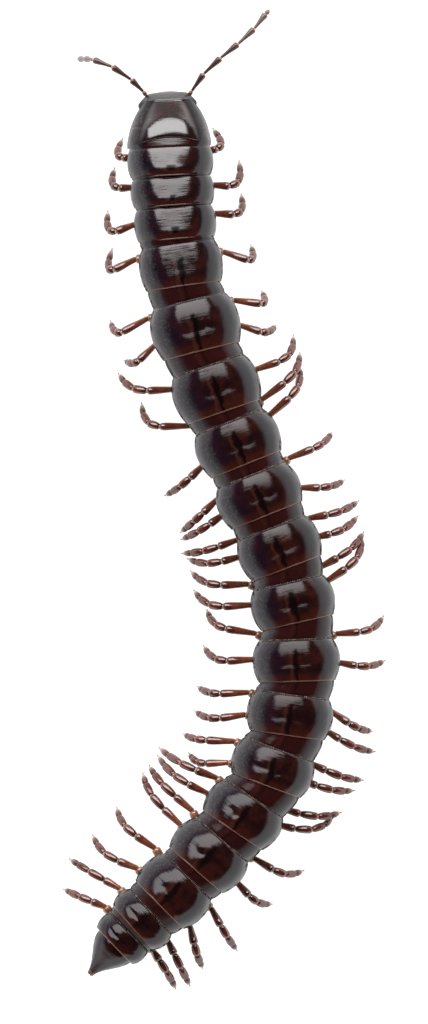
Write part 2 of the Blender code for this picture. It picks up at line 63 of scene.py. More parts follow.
# The body line, as the solids have it: where ring 2 has its waist, then for each ring the
# pitch to the next, heading from straight back, widest and waist half width, plate, height
FIRST_RING = 2
FIRST_WAIST = np.array([-2.07, 13.04, 0.0])
RINGS = (
    (1.11, 3, 1.60, 1.50, 1.03, 2.36),
    (1.11, 4, 1.56, 1.45, 1.03, 2.40),
    (1.37, 5, 1.53, 1.40, 1.17, 2.43),
    (2.12, 8, 1.56, 1.37, 1.56, 2.45),
    (2.51, 14, 1.68, 1.37, 1.93, 2.45),
    (2.22, 19, 1.66, 1.39, 1.81, 2.45),
    (2.13, 22, 1.61, 1.35, 1.70, 2.45),
    (2.09, 22, 1.62, 1.34, 1.61, 2.45),
    (2.12, 21, 1.58, 1.33, 1.61, 2.45),
    (2.12, 13, 1.58, 1.34, 1.53, 2.45),
    (2.06, 2, 1.63, 1.36, 1.56, 2.45),
    (2.09, -8, 1.61, 1.38, 1.51, 2.45),
    (2.03, -20, 1.57, 1.37, 1.41, 2.45),
    (1.94, -34, 1.54, 1.31, 1.42, 2.44),
    (1.86, -41, 1.52, 1.28, 1.48, 2.42),
    (1.89, -45, 1.46, 1.23, 1.48, 2.38),
    (1.11, -48, 1.28, 1.16, 0.89, 2.30),
    (0.92, -46, 1.09, 1.03, 0.74, 2.22),
)
BACK_RISE = 0.94            # height of the back over the axis, as a share of the half width
SOLE = 0.93                 # level under which no ring reaches
WIDEST_AT = 0.48            # where a plate is widest, as a share of its length
REAR_MARGINS = {2: 0.935, 3: 0.93, 4: 0.925, 5: 0.90}
REAR_MARGIN = 0.87          # girth of the other rear margins, as a share of the widest
RIM_WALL = 0.05             # thickness of the plate's rear rim
LIP_AT = 0.987              # the bead on that rim, and its width, as shares of the plate
LIP_WIDE = 0.010
HIDDEN_FRONT = 0.35         # length of a ring that slides into the one before it
HIDDEN_TAPER = 0.1          # how much narrower the hidden end is
FRONT_BOW = 0.02            # how far the narrow front part swells between its ends
STRICTURE_DEPTH = 0.032     # groove between the narrow front part and the plate
STRICTURE_WIDE = 0.04

# Behind the rim each ring is folded in to a pocket: how far behind the plate's end and how
# far inside its girth the rows of the fold lie
FOLD_AT = (0.012, 0.016, 0.004, -0.1, -0.3, -0.45)
FOLD_IN = (0.015, 0.035, RIM_WALL, RIM_WALL, RIM_WALL + 0.02, RIM_WALL + 0.12)

# Rows of a ring's mesh, and where its finely divided groove ends and its rim begins
HIDDEN_ROWS = 5
FRONT_ROWS = 14
GROOVE_ROWS = 9
PLATE_ROWS = 58
RIM_ROWS = 9
GROOVE_END = 0.12
RIM_START = 0.96

# Along a plate: share of the step at the waist that the back still lies low
STEP_AT = (0.0, 0.1, 0.2, 0.3, 0.4, 0.56, 0.76, 1.0)
STEP_LEFT = (1.0, 0.68, 0.38, 0.16, 0.04, 0.0, 0.0, 0.0)
STEP_LEFT_FRONT = (1.0, 0.87, 0.745, 0.62, 0.50, 0.31, 0.075, 0.0)
REAR_FALL = 0.05            # how far the back falls to the rear margin, from REAR_FALL_FROM on
REAR_FALL_FROM = 0.72
STEP_LARGEST = 0.13
STEP_SHARE = 0.54           # the step at the waist, as a share of how far the plate swells
FRONT_FALL = 0.04           # how much the narrow front part falls from the rim over it
FRONT_STEPS = {2: 0.19, 3: 0.20, 4: 0.20, 5: 0.22}
SECOND_RISE = 0.08          # how much the front part of the second ring rises to its waist
FRONT_DOMES = {2: 1.0, 3: 1.0, 4: 1.0, 5: 0.95, 6: 0.3}     # how evenly a ring is domed
FRONT_FLATNESS = (0.5, 0.0)     # added to the section's exponent of two on the front rings
FRONT_FLAT_AT = (0.0, 0.8)      # at these shares of the plate

# Marks on a plate: the cross furrow, the crease on the midline and the pores
FURROW_AT = 0.58            # as a share of the plate
FURROW_WIDE = 0.09
FURROW_SWAY = 0.02
FURROW_REACH = 0.66         # how far from the midline it runs
FURROW_GAP = 0.13           # where it is shallow, on the midline
DEEPEST_FURROW = 6          # the ring where it is deepest
CREASE_WIDE = 0.07
CREASE_FROM = 0.22          # where it begins, as a share of the plate
PORE_RINGS = (5, 7, 9, 10, 12, 13, 15, 16, 17, 18, 19)
PORE_AT = 0.62              # as a share of the plate
PORE_ARC = 1.95             # how far round from the midline
PORE_BELLS = ((0.0, 0.055, -0.03), (0.10, 0.035, 0.012))    # pit and rim: radius, width, height

# Beads on the stricture: how far round from the top in degrees, and their half sizes
FIRST_BEADED = 5
BEAD_SPAN = 112
BEAD_BEHIND = 0.005
BEAD_SUNK = 0.016
BEAD_HIGH = 0.020
BEAD_WIDE = 0.30            # as a share of the bead pitch
BEAD_LONG = 0.032

# The collar, the shield behind the head: distance ahead of its rear edge, half width,
# height of the top and of the side edges
HEAD_AXIS_X = -2.15
COLLAR_REAR = 13.44
COLLAR_AT = (0.0, 0.10, 0.36, 0.66, 0.90, 1.10, 1.28, 1.36, 1.40)
COLLAR_HALF = (1.54, 1.54, 1.48, 1.36, 1.22, 1.07, 0.92, 0.84, 0.76)
COLLAR_TOP = (3.690, 3.672, 3.602, 3.475, 3.328, 3.203, 3.088, 3.035, 2.99)
COLLAR_EDGE = (1.75, 1.77, 1.84, 1.98, 2.12, 2.27, 2.46, 2.58, 2.66)
COLLAR_SWEEP = 0.37         # how far its rear corners reach further back
COLLAR_TURN = 0.05          # how much further ahead its right side lies, per millimetre
COLLAR_FLATNESS = (1.0, 0.85, 0.45, 0.3)    # added to its section's exponent of two
COLLAR_FLAT_AT = (0.0, 0.38, 0.72, 1.4)     # at these places ahead of its rear edge
COLLAR_AXIS = (-2.09, -2.12)        # its midline at the rear and at the front
COLLAR_LIP = 0.012          # the bead along its front edge
COLLAR_LIP_AT = 1.36
COLLAR_LIP_WIDE = 0.03
COLLAR_WALL = 0.05
COLLAR_RING = 1             # the collar counts as the first ring, the tail as the twentieth
TAIL_RING = 20

# The head hangs under the collar with its face to the front
HEAD_CENTRE = np.array([HEAD_AXIS_X, 14.475, 1.56])
HEAD_HALF = np.array([0.93, 0.67, 0.93])
HEAD_NARROWING = 0.30       # how much narrower it is at the chin
FACE_ROUNDING = 0.16        # how far the face falls back to its sides and to the chin
FACE_SLOPE = 0.16
SEAM_WIDE = 0.022
SEAM_DEPTH = 0.018
BROW_DEPTH = 0.012

# Swellings of the head: place from its centre, width and how far it moves.  Those of the
# right side, mirrored to the left: upper and lower cheek, feeler socket and the hollow
# between that and the midline
HEAD_SIDE_SWELLINGS = (
    ((0.93, 0.20, 0.16), 0.22, (0.165, 0.0, 0.0)),
    ((0.76, 0.02, -0.42), 0.34, (0.13, 0.0, 0.0)),
    ((0.78, 0.58, 0.27), 0.12, (0.01, 0.02, 0.0)),
    ((0.30, 0.60, 0.10), 0.22, (0.0, -0.03, 0.0)),
)
FACE_SWELLINGS = (
    ((0.0, 0.56, -0.30), 0.50, (0.0, 0.05, 0.0)),
    ((0.0, 0.44, -0.86), 0.26, (0.0, 0.05, 0.02)),
)

# Lip, jaw, chin plate, base and neck: place from the head's centre, half axes, squareness,
# skin and tone.  A part beside the midline is mirrored to the left
MOUTHPARTS = (
    ((0.0, 0.42, -0.90), np.diag((0.40, 0.17, 0.13)), 0.7, (0.0, 0.0, 2.0), 0.15),
    ((0.50, 0.08, -0.66), ((0.26, 0.0, 0.04), (0.0, 0.34, 0.0), (-0.05, 0.06, 0.30)), 0.8,
     (0.0, 1.0, 3.0), 0.3),
    ((0.20, -0.10, -0.98), ((0.18, 0.0, 0.0), (0.0, 0.36, 0.06), (0.0, -0.05, 0.10)), 0.7,
     (0.0, 2.0, 4.0), 0.2),
    ((0.0, -0.36, -0.92), np.diag((0.34, 0.16, 0.14)), 0.7, (0.0, 0.0, 6.0), 0.25),
    ((0.0, -0.62, 0.30), np.diag((0.85, 0.40, 0.80)), 0.9, (0.0, 0.0, 7.0), 0.3),
)
TOOTH_PITCH = 0.085
TOOTH_AHEAD = 0.46
TOOTH_LEVEL = -1.02
TOOTH_HALF = (0.035, 0.04, 0.05)

# Feelers: joints as offsets from the head axis, the front of the head and the floor, and
# the girth of the first, the last and the other articles at shares of their length
FEELER_FRONT_Y = 15.07
FEELER_RIGHT = (
    (0.80, -0.06, 1.80), (0.90, 0.10, 1.82), (1.35, 0.74, 1.95), (1.98, 1.33, 2.05),
    (2.63, 1.85, 2.10), (3.22, 2.41, 2.05), (3.65, 2.96, 1.98), (3.76, 3.08, 1.96),
)
FEELER_LEFT = (
    (-0.80, -0.06, 1.80), (-0.90, 0.08, 1.82), (-1.35, 0.52, 1.93), (-2.06, 1.00, 2.02),
    (-2.76, 1.26, 1.90), (-3.02, 1.30, 1.24), (-3.24, 1.32, 0.62), (-3.30, 1.33, 0.48),
)
FEELER_ROOT = ((0.0, 0.5, 1.0), (0.07, 0.085, 0.062))
FEELER_END = ((0.0, 0.5, 1.0), (0.08, 0.095, 0.06))
FEELER_CLUB = ((0.0, 0.25, 0.55, 0.82, 0.94, 1.0), (0.060, 0.068, 0.096, 0.126, 0.124, 0.090))
FEELER_JOINT = 0.06
FEELER_CONES = (4, 0.4, 0.024)      # at the tip: how many, turned by how much, how far out

# The tail piece behind its base line: half width, level of its top and of its underside
TAIL_HEADING = -42
TAIL_AT = (-0.30, 0.0, 0.28, 0.58, 0.90, 1.14, 1.24)
TAIL_HALF = (0.84, 0.80, 0.66, 0.45, 0.24, 0.135, 0.11)
TAIL_TOP = (3.05, 3.00, 2.82, 2.58, 2.33, 2.17, 2.12)
TAIL_UNDER = (1.30, 1.34, 1.46, 1.64, 1.82, 1.91, 1.93)
SPINNERET_LEVELS = (2.05, 1.97)
SPINNERET_OUT = 0.05
SPIKE_ROWS = 6

# Valves under the tail piece and the scale between them: middle and half sizes to the right,
# back and up from the base line, and the tip of the right valve from its middle
VALVE_AT = np.array([0.20, 0.30, 1.62])
VALVE_HALF = np.array([0.215, 0.44, 0.50])
VALVE_TIP = np.array([-0.18, 0.4, 0.0])
SCALE_AT = np.array([0.0, 0.30, 1.14])
SCALE_HALF = np.array([0.24, 0.36, 0.07])

# Legs: where the hips lie and how the parts follow from the knee and the foot
HIP_OUT = 0.45
HIP_LEVEL = 0.72
HIP_FIRST = 0.4
HIP_SECOND = 1.15
HIP_FRONT_RINGS = 0.6
KNOB_OUT = 1.12
KNOB_SHARE = 0.55           # the knob lies no further out than this share of the knee's
KNOB_AHEAD = 12
KNOB_LEVEL = 0.86
KNOB_SHOWN = 0.08           # how much further out the knob lies than in the solids
NECK_SHARE = 0.46           # where the coxa ends on the way from hip to knob
LOWER_LEG = 1.62
KNEE_LOWEST = 0.8
KNEE_HIGHEST = 1.05
BEND_AHEAD = 0.6            # the lower leg first carries on by this share of its spread
LOWER_JOINTS = (0.4, 0.74)  # places of the two lower joints on that arc
TOE_LEVEL = 0.06
CLAW_REACH = 0.09
CLAW_THICK = 0.032
FLAT_BELOW = 1.3
LEG_CLEAR = 0.58
PLATE_OUTER = 0.62
PLATE_TOP = 1.02
PLATE_BOTTOM = 0.64
PLATE_BEFORE_HIP = 0.28
PLATE_BEHIND_HIP = 0.36
PLATE_MARGIN = 0.012        # left free at the midline and at the plate's outer edge
SOCKET_OUT = 0.46           # the plate's swelling at each hip
SOCKET_LEVEL = 0.66
SOCKET_WIDE = 0.2
SOCKET_HIGH = 0.05

# Poses, one leg a row: the knee's direction ahead of straight out in degrees and its
# distance from the hip, then the same for the foot, and the knee's level where legs cross
LEFT_LEGS = {
    2: ((15, 1.38, 39, 1.68),),
    3: ((14, 1.58, 34, 2.00),),
    4: ((-2, 1.77, 19, 2.13),),
    5: ((-5, 2.05, 16, 2.10), (0, 0.70, -6, 0.78)),
    6: ((-3, 2.26, 8, 2.58), (-16, 1.98, -10, 2.42)),
    7: ((27, 2.25, 35, 3.40),),
    8: ((31, 2.35, 44, 3.22), (-8, 1.70, -10, 2.78)),
    9: ((-8, 1.75, -12, 2.77), (1, 1.65, -2, 2.80)),
    10: ((15, 1.70, 13, 3.03), (20, 1.84, 22, 3.05)),
    11: ((23, 2.18, 28, 3.34), (21, 2.26, 28, 3.40)),
    12: ((22, 2.30, 29, 3.18), (11, 2.17, 18, 3.09)),
    13: ((1, 2.23, 3, 3.04), (-3, 2.10, 0, 3.01)),
    14: ((-6, 2.22, -6, 3.03), (-9, 1.95, -4, 2.60, 0.78)),
    15: ((1, 1.93, -1, 3.46, 1.45), (6, 1.88, 7, 3.37, 1.40)),
    16: ((13, 1.97, 11, 3.40, 0.90), (16, 2.02, 17, 3.48)),
    17: ((2, 1.98, 5, 3.17), (-10, 1.81, -6, 3.08)),
    18: ((-5, 1.57, -11, 3.01), (-12, 1.31, -18, 2.38)),
}
RIGHT_LEGS = {
    2: ((21, 1.40, 46, 1.75),),
    3: ((6, 1.69, 27, 2.36),),
    4: ((6, 1.77, 23, 2.27),),
    5: ((-14, 2.12, 0, 2.24), (0, 0.70, -6, 0.78)),
    6: ((-9, 2.16, 2, 2.28), (-18, 1.98, -12, 2.49)),
    7: ((12, 2.15, 22, 3.13),),
    8: ((26, 2.25, 31, 3.43), (30, 2.29, 37, 3.42)),
    9: ((12, 2.13, 14, 3.01), (-8, 1.80, -7, 2.69)),
    10: ((3, 1.69, 3, 2.90), (5, 1.54, 8, 2.70)),
    11: ((29, 1.79, 30, 3.11), (33, 2.12, 39, 3.35)),
    12: ((16, 2.05, 21, 3.03), (2, 1.81, 4, 2.82)),
    13: ((-12, 1.83, -12, 2.70), (-10, 1.57, -11, 2.90)),
    14: ((9, 1.50, 7, 2.88), (14, 1.40, 13, 2.75)),
    15: ((33, 1.57, 34, 3.05), (35, 1.81, 41, 3.20)),
    16: ((24, 1.91, 29, 2.97), (7, 1.71, 11, 2.56)),
    17: ((-2, 1.74, -6, 2.78), (-18, 1.60, -21, 2.51)),
    18: ((-2, 1.33, -9, 2.59), (7, 1.13, -3, 2.29)),
}

# The parts of a leg from the body outward: girth at shares of the part's length, then how
# far each bows up, and the girth of the joint skins between them
LEG_GIRTHS = {
    "coxa": ((0.0, 0.3, 0.7, 1.0), (0.17, 0.19, 0.18, 0.14)),
    "prefemur": ((0.0, 0.35, 0.72, 0.9, 1.0), (0.11, 0.150, 0.178, 0.168, 0.13)),
    "femur": ((0.0, 0.1, 0.35, 0.6, 0.8, 0.93, 1.0),
              (0.112, 0.114, 0.130, 0.150, 0.160, 0.150, 0.12)),
    "postfemur": ((0.0, 0.12, 0.42, 0.72, 0.92, 1.0),
                  (0.100, 0.126, 0.156, 0.158, 0.138, 0.105)),
    "tibia": ((0.0, 0.12, 0.45, 0.75, 0.93, 1.0),
              (0.092, 0.118, 0.148, 0.148, 0.128, 0.098)),
    "tarsus": ((0.0, 0.12, 0.35, 0.6, 0.85, 1.0),
               (0.088, 0.108, 0.124, 0.108, 0.078, 0.055)),
}
LEG_BOWS = (0.0, 0.02, 0.035, 0.03, 0.02, 0.02)
JOINT_RADII = (0.115, 0.095, 0.092, 0.084, 0.078)

# A gonopod from root to tip: behind the waist, out from the axis and level, and its girth
GONOPOD_RING = 7
GONOPOD_STOPS = ((0.36, 0.2, 0.76), (0.1, 0.27, 0.70), (-0.2, 0.28, 0.66),
                 (-0.45, 0.22, 0.70), (-0.62, 0.12, 0.82))
GONOPOD_GIRTH = (0.16, 0.18, 0.12, 0.08, 0.03)
GONOPOD_ROOT = (0.44, 0.28, 0.18)       # half sizes of the shared root, and its level
GONOPOD_ROOT_LEVEL = 0.80
THORN_OUT = 0.06            # how far the thorn's tip leans out and down from the arm
THORN_DOWN = 0.02

# What differs from collar to tail: red is the stripe's weight, green where it starts along
# the plate, blue how bright the light is mirrored
COLLAR_TO_TAIL = (
    (0.05, (0.0, 0.6, 1.0)), (0.1, (1.0, 0.60, 0.55)), (0.15, (1.0, 0.60, 0.30)),
    (0.2, (1.0, 0.58, 0.24)), (0.25, (1.0, 0.3, 0.22)), (0.3, (1.0, 0.24, 0.06)),
    (0.35, (1.0, 0.2, 0.0)), (0.85, (0.8, 0.2, 0.0)), (0.95, (0.3, 0.2, 0.0)),
    (1.0, (0.0, 0.2, 0.0)),
)
# Along a leg, in parts from the coxa
LEG_TONES = (
    (0.0, "#4a241a"), (0.9, "#5a2c1e"), (1.1, "#5f3223"), (1.55, "#7c4a32"),
    (1.9, "#a0704e"), (2.02, "#8e5230"), (2.3, "#8a4a2e"), (2.75, "#733625"),
    (2.98, "#4d221a"), (3.5, "#683022"), (4.5, "#5e2c22"), (5.1, "#573026"),
    (5.5, "#755850"), (5.95, "#d4bca8"),
)
# Patches per millimetre of the noises on the back, then half the width of the stripe and
# how far to its left the pale line runs
CLOUDS = 1.7
SWAYS = 2.6
BLOTCHES = 4.5
GRIT = 11.0
WRINKLES = 17.0
STRIPE_HALF = 0.15
PALE_LINE_AT = 0.19

# The studio, in metres and degrees: the softbox's middle off the zenith and to the left, its
# distance and half angles, and the levels between which the white horizon turns dark
FLOOR_HALF = 3.0
BOX_OFF = 39
BOX_ASIDE = 6
BOX_REACH = 3.0
BOX_HALF_WIDE = 35
BOX_HALF_HIGH = 18
HORIZON_RIGHT = (15, 22)
HORIZON_LEFT = (3, 27)
LENS = 378.0
CAMERA_AT = (-0.426, -0.444)    # in millimetres


def linear(code):
    """An sRGB hex code as linear light."""
    parts = [int(code[k:k + 2], 16) / 255 for k in (1, 3, 5)]
    return tuple(c / 12.92 if c <= 0.04045 else ((c + 0.055) / 1.055) ** 2.4
                 for c in parts)


def solid(colour):
    """A colour with full opacity, as a socket takes it."""
    return (*tuple(colour)[:3], 1.0)


def unit(vectors):
    """Vectors of length one, along the last axis."""
    return vectors / np.linalg.norm(vectors, axis=-1, keepdims=True)


def backwards(heading):
    """The step towards the tail: (sin, -cos) of the heading."""
    angle = math.radians(heading)
    return np.array([math.sin(angle), -math.cos(angle), 0.0])


def sideways(heading):
    """The step to the right: (cos, sin) of the heading."""
    angle = math.radians(heading)
    return np.array([math.cos(angle), math.sin(angle), 0.0])


def hermite(t, start, start_slope, end, end_slope):
    """The cubic from start to end, t from 0 to 1, with those slopes at its two ends."""
    return ((2 * t ** 3 - 3 * t ** 2 + 1) * start + (t ** 3 - 2 * t ** 2 + t) * start_slope
            + (3 * t ** 2 - 2 * t ** 3) * end + (t ** 3 - t ** 2) * end_slope)


def smooth_line(at, places, values):
    """A curve through values at places: cubic arcs whose end slopes are those of the
    parabola through each place and its two neighbours."""
    places = np.asarray(places, float)
    values = np.asarray(values, float)
    slopes = np.gradient(values, places)
    k = np.clip(np.searchsorted(places, at) - 1, 0, len(places) - 2)
    wide = places[k + 1] - places[k]
    t = np.clip((at - places[k]) / wide, 0.0, 1.0)
    return hermite(t, values[k], wide * slopes[k], values[k + 1], wide * slopes[k + 1])


def bell(distance, wide):
    """A bell: one in the middle, falling as the exponential of the squared distance."""
    return np.exp(-(distance / wide) ** 2)


def raised(values, power):
    """Values raised to a power, each with its own sign."""
    return np.sign(values) * np.abs(values) ** power


def round_angles(columns):
    """Angles once round from straight down, the first half a step past it."""
    return -math.pi / 2 + TURN * (np.arange(columns) + 0.5) / columns


def triples(first, second, third):
    """Vectors of three parts, stretched to one shape."""
    return np.stack(np.broadcast_arrays(first, second, third), axis=-1)


def waves(u, v, seed, longest=0.9, count=7):
    """Slow random relief between about -1 and 1: a sum of sine waves of u and v whose
    directions, lengths and phases are drawn from the seed."""
    draw = np.random.default_rng(seed)
    total = np.zeros(np.broadcast(u, v).shape)
    for _ in range(count):
        way = draw.uniform(0, TURN)
        number = TURN / (longest * draw.uniform(0.35, 1.0))
        total += np.sin(number * (u * math.cos(way) + v * math.sin(way)) + draw.uniform(0, TURN))
    return total / math.sqrt(count)


class Piece:
    """Collects closed surfaces and makes one mesh object of them."""

    def __init__(self, name):
        self.name = name
        self.points, self.faces, self.finishes = [], [], []
        self.skins, self.zones = [], []
        self.count = 0

    def tube(self, points, skin, zone, finish=0):
        """Adds tubes whose rows run along them and whose columns run round them.

        Quads join neighbouring rows, and a strip of quads from side to side closes each
        end row.  A tube whose volume comes out negative is turned inside out."""
        points = np.asarray(points, float)
        rows, columns = points.shape[-3:-1]
        index = np.arange(rows * columns).reshape(rows, columns)
        following = np.roll(index, -1, axis=1)
        sides = np.stack((index[:-1], following[:-1], following[1:], index[1:]), axis=-1)
        j = np.arange(columns // 2 - 1)
        strip = np.stack((j, j + 1, columns - 2 - j, columns - 1 - j), axis=-1)
        last = strip + (rows - 1) * columns
        faces = np.concatenate((sides.reshape(-1, 4), strip[:, ::-1], last))
        sample = points.reshape(-1, rows * columns, 3)[0]
        a, b, c, d = (sample[faces[:, k]] - sample.mean(axis=0) for k in range(4))
        volume = np.sum(a * np.cross(b, c)) + np.sum(a * np.cross(c, d))
        if volume < 0:
            faces = faces[:, ::-1]
        flat = points.reshape(-1, 3)
        tubes = len(flat) // (rows * columns)
        starts = self.count + np.arange(tubes) * rows * columns
        self.faces.append((faces[None] + starts[:, None, None]).reshape(-1, 4))
        self.finishes.append(np.full(tubes * len(faces), finish))
        self.points.append(flat)
        self.skins.append(np.broadcast_to(skin, points.shape).reshape(-1, 3))
        self.zones.append(np.broadcast_to(zone, points.shape).reshape(-1, 3))
        self.count += len(flat)

    def build(self, materials, nodes=()):
        """Makes the object in the row frame, on the body, in place of the given nodes."""
        mesh = bpy.data.meshes.new(self.name)
        points = np.concatenate(self.points) * MM
        faces = np.concatenate(self.faces)
        mesh.from_pydata(points.tolist(), [], faces.tolist())
        mesh.polygons.foreach_set("material_index", np.concatenate(self.finishes).astype(np.int32))
        for title, rows in (("skin", self.skins), ("zone", self.zones)):
            layer = mesh.attributes.new(title, "FLOAT_VECTOR", "POINT")
            layer.data.foreach_set("vector", np.concatenate(rows).astype(np.float32).ravel())
        for material in materials:
            mesh.materials.append(material)
        mesh.shade_smooth()
        mesh.update()
        thing = bpy.data.objects.new(self.name, mesh)
        bpy.context.scene.collection.objects.link(thing)
        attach(thing, "root")
        if nodes:
            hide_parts(*nodes)


def round_tube(path, radius, columns=16, flat=1.0):
    """A tube round a path: each row is the path's point plus a circle of that row's
    radius, square to the path, squeezed by flat along its second axis."""
    path = np.asarray(path, float)
    along = unit(np.gradient(path, axis=0))
    guide = np.cross(UP, along.mean(axis=0))
    if np.linalg.norm(guide) < 1e-6:
        guide = ACROSS
    first = unit(guide - along * np.sum(along * guide, axis=-1, keepdims=True))
    second = np.cross(along, first)
    angle = round_angles(columns)
    circle = (first[:, None] * np.cos(angle)[None, :, None]
              + second[:, None] * np.sin(angle)[None, :, None] * flat)
    return path[:, None] + circle * np.asarray(radius, float)[:, None, None]


def tube_skin(points, seed):
    """Surface coordinates of a tube: length along it, distance round it, and the seed."""
    middle = points.mean(axis=1)
    steps = np.linalg.norm(np.diff(middle, axis=0), axis=-1)
    along = np.concatenate(([0.0], np.cumsum(steps)))
    reach = np.linalg.norm(points - middle[:, None], axis=-1)
    angle = TURN * np.arange(points.shape[1]) / points.shape[1] - math.pi
    skin = np.empty(points.shape)
    skin[..., 0] = along[:, None]
    skin[..., 1] = reach.mean() * angle[None]
    skin[..., 2] = seed
    return skin


def rounded_block(centre, axes, power, rows=20, columns=32, plan=None):
    """A rounded block: the sphere's sines and cosines raised to a power, so that one
    gives an ellipsoid and less gives a squarer block.  axes are its three half axes, and
    plan is the power round the third axis where that differs."""
    rise = np.linspace(-math.pi / 2, math.pi / 2, rows + 2)[1:-1]
    turn = round_angles(columns)
    plan = power if plan is None else plan
    axes = np.asarray(axes, float)
    x = raised(np.cos(rise), power)[:, None] * raised(np.cos(turn), plan)[None]
    y = raised(np.cos(rise), power)[:, None] * raised(np.sin(turn), plan)[None]
    z = np.broadcast_to(raised(np.sin(rise), power)[:, None], x.shape)
    return centre + x[..., None] * axes[0] + y[..., None] * axes[1] + z[..., None] * axes[2]


def bulge(points, centre, wide, move):
    """Moves points by a vector times a bell of their distance from a centre."""
    distance = np.linalg.norm(points - centre, axis=-1)
    return points + bell(distance, wide)[..., None] * np.asarray(move, float)


def curved_plate(middle, wall):
    """A plate with rounded edges on a middle surface, given as rows by columns of points.

    Round each row the surface is walked out and back: the walk goes from one edge to the
    other as a cosine, and stands off the middle by half the wall times a rounded sine.
    The wall thins to nothing at the first and last row."""
    rows, steps = middle.shape[:2]
    normal = unit(np.cross(np.gradient(middle, axis=0), np.gradient(middle, axis=1)))
    columns = 2 * steps
    angle = TURN * (np.arange(columns) + 0.5) / columns
    walk = (1 - np.cos(angle)) / 2 * (steps - 1)
    low = np.clip(np.floor(walk).astype(int), 0, steps - 2)
    part = (walk - low)[None, :, None]
    face = middle[:, low] * (1 - part) + middle[:, low + 1] * part
    lift = normal[:, low] * (1 - part) + normal[:, low + 1] * part
    off = raised(np.sin(angle), 0.3)
    ends = np.linspace(-1, 1, rows)
    thick = wall / 2 * np.clip(1 - np.abs(ends) ** 12, 1e-4, 1) ** 0.5
    return face + lift * off[None, :, None] * thick[:, None, None], walk / (steps - 1), off


def spike(piece, foot, along, start, end, thick, thin, zone, finish=0):
    """A short cone with a blunt end, from start to end along a direction."""
    path = foot + along * np.linspace(start, end, SPIKE_ROWS)[:, None]
    cone = round_tube(path, np.linspace(thick, thin, SPIKE_ROWS), 8)
    piece.tube(cone, tube_skin(cone, 3), zone, finish)


class Ring:
    """One body ring: its frame in plan, its girth, and its rear rim."""

    def __init__(self, number, at, sizes):
        self.number = number
        self.pitch, self.heading, self.widest, self.waist, self.plate, self.height = sizes
        self.at = at
        self.back = backwards(self.heading)
        self.right = sideways(self.heading)
        self.top = BACK_RISE * self.widest
        swell = self.widest - self.waist
        self.step = FRONT_STEPS.get(number, min(STEP_LARGEST, STEP_SHARE * swell))
        self.dome = FRONT_DOMES.get(number, 0.0)
        self.rear_half = self.widest * REAR_MARGINS.get(number, REAR_MARGIN)
        self.rear_top = self.top - REAR_FALL
        self.rear_at = at + self.back * self.plate
        self.rear_height = self.height

    def place(self, behind, out=0.0, level=0.0):
        """A point given behind the waist, out from the axis and over the floor."""
        return self.at + self.back * behind + self.right * out + UP * level

    def half(self, share):
        """Half width at a share of the plate: the widest, less a part that grows as the
        square of the way to the waist and as the power 2.2 of the way to the rear."""
        to_waist = np.clip(1 - share / WIDEST_AT, 0, 1)
        to_rear = np.clip((share - WIDEST_AT) / (1 - WIDEST_AT), 0, 1)
        return (self.widest - (self.widest - self.waist) * to_waist ** 2
                - (self.widest - self.rear_half) * to_rear ** 2.2)

    def rise(self, share):
        """Height of the back over the axis at a share of the plate."""
        left = (smooth_line(share, STEP_AT, STEP_LEFT) * (1 - self.dome)
                + smooth_line(share, STEP_AT, STEP_LEFT_FRONT) * self.dome)
        to_rear = np.clip((share - REAR_FALL_FROM) / (1 - REAR_FALL_FROM), 0, 1)
        return self.top - self.step * left - REAR_FALL * to_rear ** 2.5


class Collar:
    """What ring 2 needs to know of the collar that it slides into."""

    rear_at = np.array([COLLAR_AXIS[0], COLLAR_REAR, 0.0])
    back, right = backwards(0), sideways(0)
    rear_half, rear_top, rear_height = 1.53, 1.31, 2.36


def lay_out_rings():
    """Walks down the body: each pitch is laid along the mean of two headings."""
    rings = []
    at = FIRST_WAIST
    for index, sizes in enumerate(RINGS):
        ring = Ring(FIRST_RING + index, at, sizes)
        if rings:
            roof = rings[-1].rear_height + rings[-1].rear_top - RIM_WALL - FRONT_FALL
            ring.step = max(ring.step, ring.height + ring.top - roof)
        rings.append(ring)
        following = RINGS[index + 1][1] if index + 1 < len(RINGS) else TAIL_HEADING
        at = at + backwards((ring.heading + following) / 2) * ring.pitch
    return rings, at


